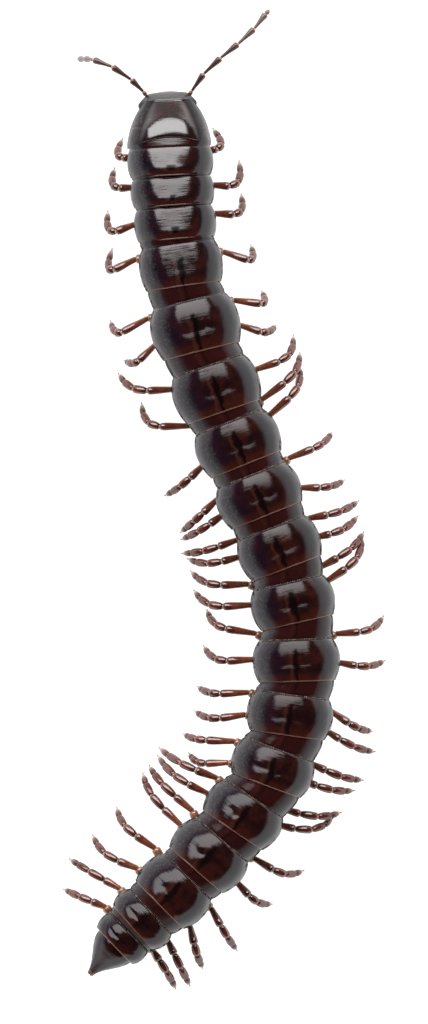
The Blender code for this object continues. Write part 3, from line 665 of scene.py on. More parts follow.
def ring_rows(ring, before, settings):
    """The rows of one ring from its hidden front end to the pocket inside its rear rim.

    Gives for each row the centre, the right-hand vector, the height of the axis, the half
    width, the rise of the back, the place along the plate in mm and the share of it.  The
    narrow front part follows a cubic that leaves and joins along the two rings' own ways."""
    hidden = np.linspace(1, 0, HIDDEN_ROWS)[:-1]
    visible = np.linspace(0, 1, FRONT_ROWS)
    groove = np.linspace(0, GROOVE_END, GROOVE_ROWS)[1:] / ring.plate
    plate = np.concatenate((groove, np.linspace(groove[-1], RIM_START, PLATE_ROWS)[1:],
                            np.linspace(RIM_START, 1.0, RIM_ROWS)[1:]))
    join_half = before.rear_half - RIM_WALL
    join_top = before.rear_top - RIM_WALL
    waist_top = ring.top - ring.step
    if before is Collar:
        join_top = waist_top - SECOND_RISE
    reach = np.linalg.norm(ring.at - before.rear_at)
    t = visible[:, None]
    lip = settings.rim_height / MM * bell(plate - LIP_AT, LIP_WIDE)
    fold_at, fold_in = np.array(FOLD_AT), np.array(FOLD_IN)
    stretches = (
        (before.rear_at - before.back * (hidden * HIDDEN_FRONT)[:, None], before.right,
         before.rear_height, join_half - HIDDEN_TAPER * hidden,
         join_top - HIDDEN_TAPER * hidden, -reach - hidden * HIDDEN_FRONT, -2.0),
        (hermite(t, before.rear_at, before.back * reach, ring.at, ring.back * reach),
         unit(before.right * (1 - t) + ring.right * t),
         before.rear_height + (ring.height - before.rear_height) * visible,
         join_half + (ring.waist - join_half) * visible + FRONT_BOW * np.sin(math.pi * visible),
         join_top + (waist_top - join_top) * visible, -reach * (1 - visible), visible - 1.0),
        (ring.at + ring.back * (plate * ring.plate)[:, None], ring.right, ring.height,
         ring.half(plate) + lip, ring.rise(plate) + lip, plate * ring.plate, plate),
        (ring.rear_at + ring.back * fold_at[:, None], ring.right, ring.height,
         ring.rear_half - fold_in, ring.rear_top - fold_in, ring.plate + fold_at, 1.05),
    )
    columns = []
    for centre, right, *rest in stretches:
        count = len(centre)
        columns.append((centre, np.broadcast_to(right, (count, 3)),
                        *(np.broadcast_to(value, count) for value in rest)))
    centre, right, height, half, rise, behind, share = map(np.concatenate, zip(*columns))
    cut = STRICTURE_DEPTH * (1 - 0.6 * ring.dome) * bell(behind, STRICTURE_WIDE)
    return centre, right, height, half - cut, rise - cut, behind, share


def ring_relief(ring, behind, share, arc, settings):
    """How far each point of a ring stands off its smooth form: the cross furrow and the
    midline crease as bells of the distance from their lines, slow waves, and the pores."""
    shown = (np.clip((share + 0.2) / 0.4, 0, 1) * np.clip((1.02 - share) / 0.1, 0, 1))[:, None]
    window = np.exp(-(arc / FURROW_REACH) ** 4) * (1 - 0.7 * bell(arc, FURROW_GAP))
    wavy = FURROW_AT + FURROW_SWAY * waves(arc, arc * 0, ring.number + 900, 0.7)
    furrow = bell(share[:, None] - wavy, FURROW_WIDE) * window
    deep = (1 - ring.dome) * (1 + 0.7 * bell(ring.number - DEEPEST_FURROW, 0.8))
    crease = bell(arc, CREASE_WIDE) * np.clip((share[:, None] - CREASE_FROM) / 0.1, 0, 1) * shown
    relief = (settings.relief / MM * waves(behind[:, None], arc, ring.number) * shown
              - settings.furrow_depth / MM * deep * furrow
              - settings.crease_depth / MM * (1 - ring.dome) * crease)
    if ring.number in PORE_RINGS:
        for side in (-1, 1):
            distance = np.hypot(behind[:, None] - PORE_AT * ring.plate, arc - side * PORE_ARC)
            for radius, wide, high in PORE_BELLS:
                relief = relief + high * bell(distance - radius, wide)
    return relief


def ring_surface(ring, before, settings):
    """A ring as a tube of ellipse halves: out by the half width times the cosine, up by
    the rise times the sine, plus its relief.  Over the front rings both are raised to a
    power below one, which flattens the back."""
    centre, right, height, half, rise, behind, share = ring_rows(ring, before, settings)
    angle = round_angles(settings.ring_columns)
    under = np.minimum(rise, height - SOLE)
    flat = ring.dome * np.interp(share, FRONT_FLAT_AT, FRONT_FLATNESS)
    if before is Collar:
        flat = flat + (COLLAR_FLATNESS[0] - flat) * np.clip(-share, 0, 1)
    power = np.where(np.sin(angle) > 0, (2 / (2 + flat))[:, None], 1.0)
    sine, cosine = raised(np.sin(angle), power), raised(np.cos(angle), power)
    up = np.where(sine > 0, rise[:, None], under[:, None]) * sine
    arc = (math.pi / 2 - angle)[None] * (0.5 * (half + rise))[:, None]
    arc = np.where(arc > math.pi * ring.widest, arc - TURN * ring.widest, arc)
    relief = ring_relief(ring, behind, share, arc, settings)
    points = (centre[:, None]
              + right[:, None] * (half[:, None] * cosine + relief * np.cos(angle))[..., None]
              + UP * (height[:, None] + up + relief * np.sin(angle))[..., None])
    return (points, triples(behind[:, None], arc, float(ring.number)),
            triples(share[:, None], cosine, sine))


def bead_rows(ring, settings):
    """The beads along a ring's stricture: half sunk ellipsoids, one bead pitch apart."""
    pitch = settings.bead_pitch / MM
    reach = math.radians(BEAD_SPAN)
    count = int(2 * reach * ring.waist / pitch)
    draw = np.random.default_rng(ring.number + 40)
    angle = math.pi / 2 + np.linspace(-reach, reach, count)
    out = np.cos(angle)[:, None] * ring.right + np.sin(angle)[:, None] * UP
    top = ring.top - ring.step
    low = np.minimum(top, ring.height - SOLE)
    up = np.where(np.sin(angle) > 0, top, low) * np.sin(angle)
    middle = (ring.at + ring.back * BEAD_BEHIND
              + (ring.waist * np.cos(angle))[:, None] * ring.right
              + (ring.height + up)[:, None] * UP - out * BEAD_SUNK)
    size = draw.uniform(0.75, 1.15, count)[:, None]
    bead = rounded_block(np.zeros(3), np.eye(3), 1.0, rows=4, columns=6)[None]
    points = middle[:, None, None]
    for k, half_axis in enumerate((out * BEAD_HIGH, np.cross(ring.back, out) * pitch * BEAD_WIDE,
                                   ring.back * BEAD_LONG)):
        points = points + bead[..., k:k + 1] * (half_axis * size)[:, None, None]
    return points


def collar_surface(settings):
    """The collar as a curved plate: across it the arch's cosine and sine, along it curves
    through the named sections, with the rear corners swept back."""
    length = COLLAR_AT[-1]
    ahead = np.linspace(0, 1, 64) ** 0.9 * length
    arch = np.linspace(0, math.pi, 90)
    half, top, edge = (smooth_line(ahead, COLLAR_AT, values)[:, None]
                       for values in (COLLAR_HALF, COLLAR_TOP, COLLAR_EDGE))
    sweep = COLLAR_SWEEP * (1 - ahead / length)[:, None] ** 2
    lip = COLLAR_LIP * bell(ahead - COLLAR_LIP_AT, COLLAR_LIP_WIDE)[:, None]
    relief = settings.relief / MM * waves(ahead[:, None], arch[None] * 1.4, 77)
    power = 2 / (2 + np.interp(ahead, COLLAR_FLAT_AT, COLLAR_FLATNESS))[:, None]
    axis = np.interp(ahead, (0, length), COLLAR_AXIS)[:, None]
    out = raised(np.cos(arch), power)
    y = COLLAR_REAR + ahead[:, None] - sweep * np.abs(out) ** 1.7 + COLLAR_TURN * half * out
    z = edge + (top - edge) * np.sin(arch) ** power + lip + relief * np.sin(arch)[None]
    points, walk, off = curved_plate(triples(axis + half * out, y, z), COLLAR_WALL)
    arc = (0.5 - walk) * math.pi * 1.45
    share = np.where(ahead < 0.03, 1.0, 0.7 - 0.3 * ahead / length)
    return (points, triples(-ahead[:, None], arc[None], float(COLLAR_RING)),
            triples(share[:, None], np.cos(math.pi * walk)[None], off[None]))


def head_surface():
    """The head capsule: a block square in plan that narrows downwards, its face rounded
    and sloped, with swellings as bells of the distance, and a seam and a brow as grooves."""
    points = rounded_block(HEAD_CENTRE, np.diag(HEAD_HALF), 0.72, rows=90, columns=132, plan=0.5)
    local = points - HEAD_CENTRE
    below = np.clip(-local[..., 2] / HEAD_HALF[2], 0, 1)
    face = np.clip(-local[..., 2] / 0.5, 0, 1) * (local[..., 1] > 0)
    across = local[..., 0] / HEAD_HALF[0]
    points[..., 0] -= local[..., 0] * HEAD_NARROWING * below ** 1.5
    points[..., 1] -= face * (FACE_ROUNDING * across ** 2 + FACE_SLOPE * below ** 2)
    for side in (-1, 1):
        mirror = (side, 1, 1)
        for place, wide, move in HEAD_SIDE_SWELLINGS:
            points = bulge(points, HEAD_CENTRE + np.multiply(place, mirror), wide,
                           np.multiply(move, mirror))
    for place, wide, move in FACE_SWELLINGS:
        points = bulge(points, HEAD_CENTRE + place, wide, move)
    local = points - HEAD_CENTRE
    points[..., 1] += COLLAR_TURN * local[..., 0]
    facing = unit(local / HEAD_HALF ** 2)
    seam_and_painted_shade = bell(local[..., 0], SEAM_WIDE) * np.clip((local[..., 2] + 0.1) / 0.2, 0, 1)
    brow = bell(local[..., 2] + 0.08, 0.03) * bell(local[..., 0], 0.55) * (local[..., 1] > 0)
    points = points - facing * (SEAM_DEPTH * seam_and_painted_shade + BROW_DEPTH * brow)[..., None]
    return points, local, triples(0.5 + 0.4 * local[..., 2], local[..., 1], facing[..., 2])


def ceiling(ring, out):
    """The highest level that a leg may take at a distance from the axis."""
    reach = ring.widest + LEG_CLEAR
    if abs(out) >= reach:
        return ring.height
    return max(FLAT_BELOW - LEG_CLEAR, ring.height - math.sqrt(reach * reach - out * out))


def leg_joints(ring, side, hip_behind, pose):
    """Hip, knob, knee, two joints and foot of one leg, from its pose in plan.  The two
    joints below the knee lie on a quadratic arc from knee to foot."""
    knee_aim, knee_out, foot_aim, foot_out = pose[:4]
    hip = ring.place(hip_behind, side * HIP_OUT)
    outward = ring.right * side

    def plan(aim, distance):
        angle = math.radians(aim)
        return hip + (outward * math.cos(angle) - ring.back * math.sin(angle)) * distance

    knee = plan(knee_aim, knee_out)
    foot = plan(foot_aim, foot_out)
    knob_out = min(KNOB_OUT, KNOB_SHARE * knee_out)
    knob = plan(knee_aim + KNOB_AHEAD, knob_out)
    spread = np.linalg.norm(foot - knee)
    rise = math.sqrt(max(0.0, LOWER_LEG ** 2 - spread ** 2))
    rise = min(max(rise, KNEE_LOWEST), KNEE_HIGHEST)
    if len(pose) > 4:
        rise = pose[4]
    knee_across = HIP_OUT + knee_out * math.cos(math.radians(knee_aim))
    knob_across = HIP_OUT + knob_out * math.cos(math.radians(knee_aim + KNOB_AHEAD))
    knee = knee + UP * min(rise, ceiling(ring, knee_across))
    knob = knob + UP * min(KNOB_LEVEL, ceiling(ring, knob_across))
    hip = hip + UP * HIP_LEVEL
    ahead = unit(knee - knob)
    bend = knee + np.array([ahead[0], ahead[1], 0.0]) * (BEND_AHEAD * spread)
    joints = [knee * (1 - t) ** 2 + bend * (2 * t * (1 - t)) + foot * t ** 2
              for t in LOWER_JOINTS]
    return [hip, knob, knee, *joints, foot]


def limb_part(piece, start, end, girth, where, seed, bow=0.0, rows=16, scale=1.0):
    """One part of a limb: a round tube whose girth is a curve through named values, drawn
    in to a rounded end by the root of one less the 22nd power of the place along it."""
    t = 0.5 - 0.5 * np.cos(np.linspace(0, math.pi, rows))
    length = np.linalg.norm(end - start)
    path = start + (end - start) * t[:, None] + UP * (bow * length * np.sin(math.pi * t))[:, None]
    close = np.sqrt(np.clip(1 - np.abs(2 * t - 1) ** 22, 1e-5, 1))
    points = round_tube(path, smooth_line(t, *girth) * close * scale)
    level = (points - path[:, None])[..., 2] / 0.15
    piece.tube(points, tube_skin(points, seed), triples(where + t[:, None], t[:, None], level))


def joint_ball(piece, before, centre, after, radius, seed):
    """The pale joint skin between two parts: a short barrel along their mean direction."""
    along = unit(unit(after - centre) + unit(centre - before))
    t = np.linspace(-1, 1, 7)
    path = centre + along * (t * radius * 0.7)[:, None]
    points = round_tube(path, radius * np.sqrt(np.clip(1 - 0.92 * t ** 2, 0, 1)), 12)
    piece.tube(points, tube_skin(points, seed), (0.5, 0.5, 0.5), 1)


def claw(piece, ankle, toe, foot, seed, pale):
    """The claw: a tapered tube on the parabola from the toe to the floor ahead of it."""
    reach = unit((foot - ankle) * (1, 1, 0)) * CLAW_REACH
    tip = np.array([foot[0], foot[1], 0.0]) + reach
    crook = toe + unit(toe - ankle) * 0.05 + reach * 0.5
    t = np.linspace(0, 1, 8)[:, None]
    path = toe * (1 - t) ** 2 + crook * 2 * t * (1 - t) + tip * t ** 2
    path[:, 2] = np.maximum(path[:, 2], 0.012)
    points = round_tube(path, CLAW_THICK * (1 - t[:, 0]) ** 0.7 + 0.004, 8)
    points[..., 2] = np.maximum(points[..., 2], 0.0)
    piece.tube(points, tube_skin(points, seed), (6.0 + 0.9 * pale, 0.5, 0.5), 2)


def leg(piece, joints, seed, pale):
    """A walking leg: coxa, prefemur, femur, postfemur, tibia, tarsus and claw, with a
    joint skin between each two.  zone holds the part's number plus the share along it."""
    hip, knob, knee, lower, ankle, foot = joints
    draw = np.random.default_rng(seed)
    knob = knob + unit(knee - knob) * KNOB_SHOWN
    neck = hip + (knob - hip) * NECK_SHARE
    shaft = knob - unit(knee - knob) * 0.02
    toe = foot + UP * TOE_LEVEL + unit(ankle - foot) * 0.04
    stops = (hip, neck, knob, knee, lower, ankle, toe)
    starts = (hip, neck, shaft, knee, lower, ankle)
    for place, (start, end, girth) in enumerate(zip(starts, stops[1:], LEG_GIRTHS.values())):
        lap = unit(end - start) * 0.015
        limb_part(piece, start - lap, end + lap, girth, place, seed + place * 0.37,
                  LEG_BOWS[place], scale=draw.uniform(0.97, 1.04))
    for before, centre, after, radius in zip(stops, stops[1:], stops[2:], JOINT_RADII):
        joint_ball(piece, before, centre, after, radius, seed)
    claw(piece, ankle, toe, foot, seed, pale)


def feeler(piece, joints):
    """A feeler: one limb part to an article, a joint skin between each two, and four
    sensory cones round the tip."""
    route = [np.array([HEAD_AXIS_X + x, FEELER_FRONT_Y + y, z]) for x, y, z in joints]
    last = len(route) - 2
    for number, (start, end) in enumerate(zip(route, route[1:])):
        girth = {0: FEELER_ROOT, last: FEELER_END}.get(number, FEELER_CLUB)
        limb_part(piece, start, end, girth, number, 50 + number, 0.015, rows=20)
        if number:
            joint_ball(piece, route[number - 1], start, end, FEELER_JOINT, number)
    along = unit(route[-1] - route[-2])
    first = unit(np.cross(along, UP))
    second = np.cross(first, along)
    count, shift, out = FEELER_CONES
    for turn in np.arange(count) * TURN / count + shift:
        foot = route[-1] + (first * math.cos(turn) + second * math.sin(turn)) * out
        spike(piece, foot, along, -0.02, 0.055, 0.014, 0.005, (6.9, 0.97, 0.0))


def hip_places(ring, count):
    """How far behind the waist the hips of a ring lie."""
    if ring.number == GONOPOD_RING:
        return [HIP_SECOND]
    if count == 1:
        return [HIP_FRONT_RINGS]
    return [HIP_FIRST, HIP_SECOND]


def half_sternite(piece, ring, side, hips):
    """Half of the plate under a ring: a rounded block with a swelling at each hip."""
    near, far = hips[0] - PLATE_BEFORE_HIP, hips[-1] + PLATE_BEHIND_HIP
    centre = ring.place((near + far) / 2, side * PLATE_OUTER / 2, (PLATE_TOP + PLATE_BOTTOM) / 2)
    axes = (ring.right * (PLATE_OUTER / 2 - PLATE_MARGIN), -ring.back * (far - near) / 2,
            UP * (PLATE_TOP - PLATE_BOTTOM) / 2)
    points = rounded_block(centre, axes, 0.5, rows=16, columns=40)
    for behind in hips:
        socket = ring.place(behind, side * SOCKET_OUT, SOCKET_LEVEL)
        points = bulge(points, socket, SOCKET_WIDE, ring.right * side * SOCKET_HIGH)
    local = points - centre
    skin = triples(local @ ring.back, local @ ring.right, ring.number * 1.3)
    piece.tube(points, skin, (0.4, 0.4, 0.4))


def tail_surface(at, settings):
    """The tail piece: ellipses across it whose half width, top and underside are curves
    through the named sections."""
    back, right = backwards(TAIL_HEADING), sideways(TAIL_HEADING)
    behind = np.linspace(TAIL_AT[0], TAIL_AT[-1], 60)
    half, top, under = (smooth_line(behind, TAIL_AT, values)[:, None]
                        for values in (TAIL_HALF, TAIL_TOP, TAIL_UNDER))
    angle = round_angles(96)
    relief = settings.relief / MM * waves(behind[:, None], angle[None], 31)
    level = (top + under) / 2 + ((top - under) / 2 + relief) * np.sin(angle)
    points = (at + back * behind[:, None, None] + right * ((half + relief) * np.cos(angle))[..., None]
              + UP * level[..., None])
    share = np.where(behind > 1.1, 1.0, 0.03)
    return (points, triples(behind[:, None], (math.pi / 2 - angle) * half, float(TAIL_RING)),
            triples(share[:, None], np.cos(angle), np.sin(angle)))


def blank(name, *layers):
    """A material with its tree, its Principled shader and the mesh's layers of those names."""
    material = bpy.data.materials.new(name)
    material.use_nodes = True
    tree = material.node_tree
    given = [add(tree, "Attribute", out="Vector", attribute_name=layer) for layer in layers]
    return material, tree, tree.nodes["Principled BSDF"], *given


def fill(node, inputs):
    """Fills a node's inputs with values or links: by name, or in order those in use."""
    if not isinstance(inputs, dict):
        inputs = dict(zip([k for k, socket in enumerate(node.inputs) if socket.enabled], inputs))
    for key, value in inputs.items():
        socket = node.inputs[key]
        if isinstance(value, bpy.types.NodeSocket):
            node.id_data.links.new(value, socket)
        elif socket.type == "RGBA":
            socket.default_value = solid(value)
        else:
            socket.default_value = value


def add(tree, kind, inputs=(), out=0, stops=(), **settings):
    """Adds a shader node: sets its properties, gives a ramp its stops, fills its inputs,
    and gives back the output in that place or of that name, or all where out is None."""
    node = tree.nodes.new("ShaderNode" + kind)
    for key, value in settings.items():
        setattr(node, key, value)
    for number, (place, colour) in enumerate(stops):
        elements = node.color_ramp.elements
        element = elements[number] if number < len(elements) else elements.new(1.0)
        element.position = place
        element.color = solid(linear(colour) if isinstance(colour, str) else colour)
    fill(node, inputs)
    outputs = [socket for socket in node.outputs if socket.enabled]
    if out is None:
        return outputs
    return outputs[out] if isinstance(out, int) else node.outputs[out]


def shell_marks(tree, skin, zone):
    """Where a point lies on its ring, what kind of ring it is, and the noises that the
    colours and the wax share."""
    at = SimpleNamespace()
    at.behind, at.arc, at.number = add(tree, "SeparateXYZ", (skin,), None)
    at.share, at.across, at.height = add(tree, "SeparateXYZ", (zone,), None)
    at.aside = add(tree, "Math", (at.across,), operation="ABSOLUTE")
    # Each ring draws its own piece of the noises
    at.spread = add(tree, "Mapping", {"Vector": skin, "Scale": (1.0, 1.0, 3.7)})
    at.grit = add(tree, "TexNoise", (at.spread, GRIT, 4.0, 0.7))
    at.blotch = add(tree, "TexNoise", (at.spread, BLOTCHES, 4.0))
    along = add(tree, "Math", (at.number, float(TAIL_RING)), operation="DIVIDE")
    kinds = add(tree, "ValToRGB", (along,), stops=COLLAR_TO_TAIL)
    at.striped, at.starts, at.mirror = add(tree, "SeparateColor", (kinds,), None)
    # From the fifth ring on, where the stripe starts well ahead
    at.later = add(tree, "MapRange", (at.starts, 0.5, 0.35))
    at.flank = add(tree, "MapRange", (at.aside, 0.5, 0.72, 0.0, 0.8),
                   interpolation_type="SMOOTHSTEP")
    return at


def stripe_masks(tree, at):
    """The black stripe on the midline, ragged by a noise and widest past the middle of a
    plate, and the paler line at its left."""
    sway = add(tree, "TexNoise", (at.spread, SWAYS, 6.0, 0.65))
    sway = add(tree, "Math", (sway, -0.5), operation="ADD")
    off = add(tree, "Math", (sway, 0.42, at.arc), operation="MULTIPLY_ADD")
    away = add(tree, "Math", (at.share, -0.6), operation="ADD")
    away = add(tree, "Math", (away,), operation="ABSOLUTE")
    slender = add(tree, "MapRange", (away, 0.1, 0.5, 0.9, 2.2))
    distance = add(tree, "Math", (off,), operation="ABSOLUTE")
    distance = add(tree, "Math", (distance, slender), operation="MULTIPLY")
    stripe = add(tree, "MapRange", (distance, STRIPE_HALF, 0.05, 0.0, 0.9),
                 interpolation_type="SMOOTHSTEP")

    # How far it runs along a plate, and on over the narrow front part of later rings
    begun = add(tree, "Math", (at.starts, 0.06), operation="ADD")
    begun = add(tree, "MapRange", (at.share, at.starts, begun))
    end = add(tree, "MapRange", (at.starts, 0.35, 0.55, 1.2, 0.80))
    beyond = add(tree, "Math", (end, 0.06), operation="ADD")
    ended = add(tree, "MapRange", (at.share, end, beyond, 1.0, 0.0))
    ahead = add(tree, "MapRange", (at.share, -0.02, -0.1, 0.0, 0.55))
    ahead = add(tree, "Math", (ahead, at.later), operation="MULTIPLY")
    long = add(tree, "Math", (begun, ended, ahead), operation="MULTIPLY_ADD")
    long = add(tree, "Math", (long, at.striped), operation="MULTIPLY")
    stripe = add(tree, "Math", (stripe, long), operation="MULTIPLY", use_clamp=True)

    beside = add(tree, "Math", (off, PALE_LINE_AT), operation="ADD")
    beside = add(tree, "Math", (beside,), operation="ABSOLUTE")
    pale = add(tree, "MapRange", (beside, 0.10, 0.01, 0.0, 0.5), interpolation_type="SMOOTHSTEP")
    pale = add(tree, "Math", (pale, long), operation="MULTIPLY")
    return stripe, pale


def painted_shade_masks(tree, at):
    """Painted reflection and shade: a broken black line at the outer edge, low on each side near
    the waists of the later rings, where the dark legs and the shaded underside mirror, and a
    painted shadow at the collar's front corners."""
    wander = add(tree, "Math", (at.blotch, 0.09, at.aside), operation="MULTIPLY_ADD")
    seam_and_painted_shade = add(tree, "MapRange", (wander, 0.992, 1.006))
    midway = add(tree, "Math", (at.share, -0.5), operation="ADD")
    midway = add(tree, "Math", (midway,), operation="ABSOLUTE")
    for limit in (add(tree, "MapRange", (at.grit, 0.45, 0.52)), at.later,
                  add(tree, "MapRange", (midway, 0.2, 0.36)),
                  add(tree, "MapRange", (at.height, -0.08, 0.04))):
        seam_and_painted_shade = add(tree, "Math", (seam_and_painted_shade, limit), operation="MULTIPLY")
    # Painted shadow at the collar's front corners: its outer edge, near the front
    edge = add(tree, "MapRange", (at.aside, 0.955, 0.98))
    corner = add(tree, "MapRange", (at.behind, -0.88, -1.0))
    return seam_and_painted_shade, add(tree, "Math", (edge, corner), operation="MULTIPLY")


def shell_colour(tree, at, stripe, pale, seam_and_painted_shade, painted_corner_shade, settings):
    """The colours of the back, laid over one another from the clouds to the painted edge shade."""
    cloud = add(tree, "TexNoise", (at.spread, CLOUDS, 5.0, 0.6))
    cloudy = add(tree, "MapRange", (cloud, 0.40, 0.66), interpolation_type="SMOOTHSTEP")
    # Painted shade: a violet cast over the left of the back
    left = add(tree, "MapRange", (at.across, -0.12, -0.5, 0.0, 0.6),
               interpolation_type="SMOOTHSTEP")
    # Painted sparkle: grey-green grain low on the left flank, standing in for its glints
    sparkle_mask_painted = add(tree, "MapRange", (at.grit, 0.52, 0.68, 0.0, 0.5))
    low = add(tree, "MapRange", (at.across, -0.45, -0.72), interpolation_type="SMOOTHSTEP")
    sparkle_mask_painted = add(tree, "Math", (sparkle_mask_painted, low), operation="MULTIPLY")
    back = add(tree, "Math", (1.0, at.flank), operation="SUBTRACT")
    front = add(tree, "MapRange", (at.share, 0.0, -0.12, 0.0, 0.8))
    front = add(tree, "Math", (front, back), operation="MULTIPLY")
    # The rusty band is strongest over the back, and uneven
    band = add(tree, "MapRange", (at.share, 0.74, 0.94), interpolation_type="SMOOTHSTEP")
    band = add(tree, "Math", (band, back), operation="MULTIPLY")
    band = add(tree, "Math", (band, at.blotch), operation="MULTIPLY")
    band = add(tree, "Math", (band, 1.4), operation="MULTIPLY", use_clamp=True)
    # The amber rim is clearest over the back
    rim = add(tree, "MapRange", (at.share, 0.978, 0.990))
    over = add(tree, "MapRange", (at.height, 0.3, 0.75, 0.25))
    rim = add(tree, "Math", (rim, over), operation="MULTIPLY")
    colour = settings.dark
    # The left cast, the grey-green sparkle and the last two black layers are painted light and shade
    for mask, paint in ((cloudy, settings.brown), (at.flank, settings.flank),
                        (left, settings.painted_left_cast), (sparkle_mask_painted, settings.painted_sparkle_grey), (front, settings.red),
                        (band, settings.rust), (pale, settings.pale), (stripe, settings.black),
                        (rim, settings.amber), (seam_and_painted_shade, settings.black), (painted_corner_shade, settings.black)):
        colour = add(tree, "Mix", (mask, colour, paint), data_type="RGBA")
    return colour


def wax_weights(tree, at, gloss_off_stripe_and_shade, settings):
    """How brightly the cuticle and the wax on it mirror.  The wax is thin low on the
    flanks, over the stripe and over the painted shade, and worn from the front of a plate
    to its rear, and the flanks and the collar's shoulders are satin."""
    inner = add(tree, "MapRange", (at.aside, 0.60, 0.45, 0.0, 0.8))
    level = add(tree, "Math", (at.mirror, inner), operation="MULTIPLY")
    level = add(tree, "Math", (level, gloss_off_stripe_and_shade), operation="MULTIPLY")

    # How much wax is left at the rear of a plate: more on the first rings and the last
    least = add(tree, "MapRange", (at.later, 0.0, 1.0, 0.8, 0.42))
    hind = add(tree, "MapRange", (at.number, 12.5, 14.0, 0.0, 0.9))
    least = add(tree, "Math", (least, hind), operation="MAXIMUM")
    worn = add(tree, "MapRange", (at.share, 0.04, 0.34, 1.0, least))
    rearward = add(tree, "MapRange", (at.number, 10.0, 12.5, 1.0, 0.88))
    on_collar = add(tree, "MapRange", (at.mirror, 0.6, 1.0))
    shoulder = add(tree, "MapRange", (at.aside, 0.42, 0.56, 1.0, 0.4))
    shoulder = add(tree, "Mix", (on_collar, 1.0, shoulder))
    for limit in (rearward, shoulder):
        worn = add(tree, "Math", (worn, limit), operation="MULTIPLY")

    satin = add(tree, "MapRange", (at.aside, 0.62, 0.92, 0.55, 1.12))
    sided = add(tree, "MapRange", (at.across, -0.3, 0.3, 0.86, 1.05))
    collar = add(tree, "MapRange", (at.mirror, 0.6, 1.0, 1.0, 0.8))
    for limit in (sided, collar):
        satin = add(tree, "Math", (satin, limit), operation="MULTIPLY")

    worn = add(tree, "Mix", (at.flank, worn, satin))
    covered = add(tree, "MapRange", (at.share, -0.12, 0.0, 0.4, 1.0))
    covered = add(tree, "Math", (covered, at.flank), operation="MAXIMUM")
    coat = add(tree, "MapRange", (at.aside, 0.90, 1.0, settings.coat, settings.coat * 0.6))
    for limit in (gloss_off_stripe_and_shade, worn, covered):
        coat = add(tree, "Math", (coat, limit), operation="MULTIPLY")
    return level, coat


def waxed_cuticle(settings):
    """Hardened, waxed cuticle of the back.  Dark red-brown with cloudy patches, a black
    ragged stripe with a paler line at its left, a rusty band before a thin amber rim, and
    a clear wax coat whose fine cross wrinkles break up the studio light."""
    material, tree, shader, skin, zone = blank("waxed_cuticle", "skin", "zone")
    at = shell_marks(tree, skin, zone)
    stripe, pale = stripe_masks(tree, at)
    # Painted shade: the dark line at the flank edges and the shadow at the collar's front corners
    seam_and_painted_shade, painted_corner_shade = painted_shade_masks(tree, at)
    colour = shell_colour(tree, at, stripe, pale, seam_and_painted_shade, painted_corner_shade, settings)

    # Wrinkles run across the body: ten times longer across than along
    stretched = add(tree, "Mapping", {"Vector": at.spread, "Scale": (1.0, 0.1, 1.0)})
    wrinkle = add(tree, "TexNoise", (stretched, WRINKLES, 3.0, 0.6))
    height = add(tree, "Math", (at.grit, 0.12, wrinkle), operation="MULTIPLY_ADD")
    smooth = add(tree, "MapRange", (at.mirror, 0.0, 0.5, 1.0, 0.5))
    bump = add(tree, "Bump", {"Height": height, "Strength": smooth,
                              "Distance": settings.wrinkle_height})

    # The gloss is cut over the stripe and over the painted shade of the edges and collar corners
    dull = add(tree, "Math", (stripe, seam_and_painted_shade), operation="MAXIMUM")
    dull = add(tree, "Math", (dull, painted_corner_shade), operation="MAXIMUM")
    gloss_off_stripe_and_shade = add(tree, "MapRange", (dull, 0.0, 1.0, 1.0, 0.06))
    level, coat = wax_weights(tree, at, gloss_off_stripe_and_shade, settings)
    fill(shader, {"Base Color": colour, "Normal": bump, "Coat Normal": bump,
                  "Roughness": settings.roughness, "IOR": CHITIN_IOR,
                  "Specular IOR Level": level, "Coat Weight": coat,
                  "Coat Roughness": settings.coat_roughness, "Coat IOR": WAX_IOR})
    return material


def bead_horn():
    """Horn of the stricture beads, worn to a shine.  Dark brown, paler grey-brown in random patches.
    """
    material, tree, shader, skin = blank("bead_horn", "skin")
    pale_patches = add(tree, "TexNoise", (skin, 6.0, 2.0))
    colour = add(tree, "ValToRGB", (pale_patches,), stops=((0.38, "#33231e"), (0.62, "#93816f")))
    fill(shader, {"Base Color": colour, "Roughness": 0.3, "IOR": CHITIN_IOR})
    return material


def limb_cuticle(settings):
    """Thin hardened cuticle of the legs.  Brown and glassy, amber where the limb is thin
    at its root, and greyer towards the claw."""
    material, tree, shader, skin, zone = blank("limb_cuticle", "skin", "zone")
    part, _, _ = add(tree, "SeparateXYZ", (zone,), None)
    where = add(tree, "Math", (part, 6.0), operation="DIVIDE")
    colour = add(tree, "ValToRGB", (where,),
                 stops=[(place / 6, code) for place, code in LEG_TONES])
    cloud = add(tree, "TexNoise", (skin, 5.0, 4.0))
    shade = add(tree, "MapRange", (cloud, 0.3, 0.7, 0.70, 1.35))
    colour = add(tree, "VectorMath", (colour, shade), operation="SCALE")
    grain = add(tree, "TexNoise", (skin, 18.0, 2.0))
    bump = add(tree, "Bump", {"Height": grain, "Strength": 0.4, "Distance": 1.2e-6})
    # The wax thins out towards the claw
    waxed = add(tree, "MapRange", (part, 3.2, 5.0, 1.0, 0.25))
    fill(shader, {"Base Color": colour, "Normal": bump, "Roughness": settings.roughness,
                  "IOR": CHITIN_IOR, "Specular IOR Level": 0.15, "Coat Weight": waxed,
                  "Coat Roughness": 0.07, "Coat IOR": 1.95})
    return material


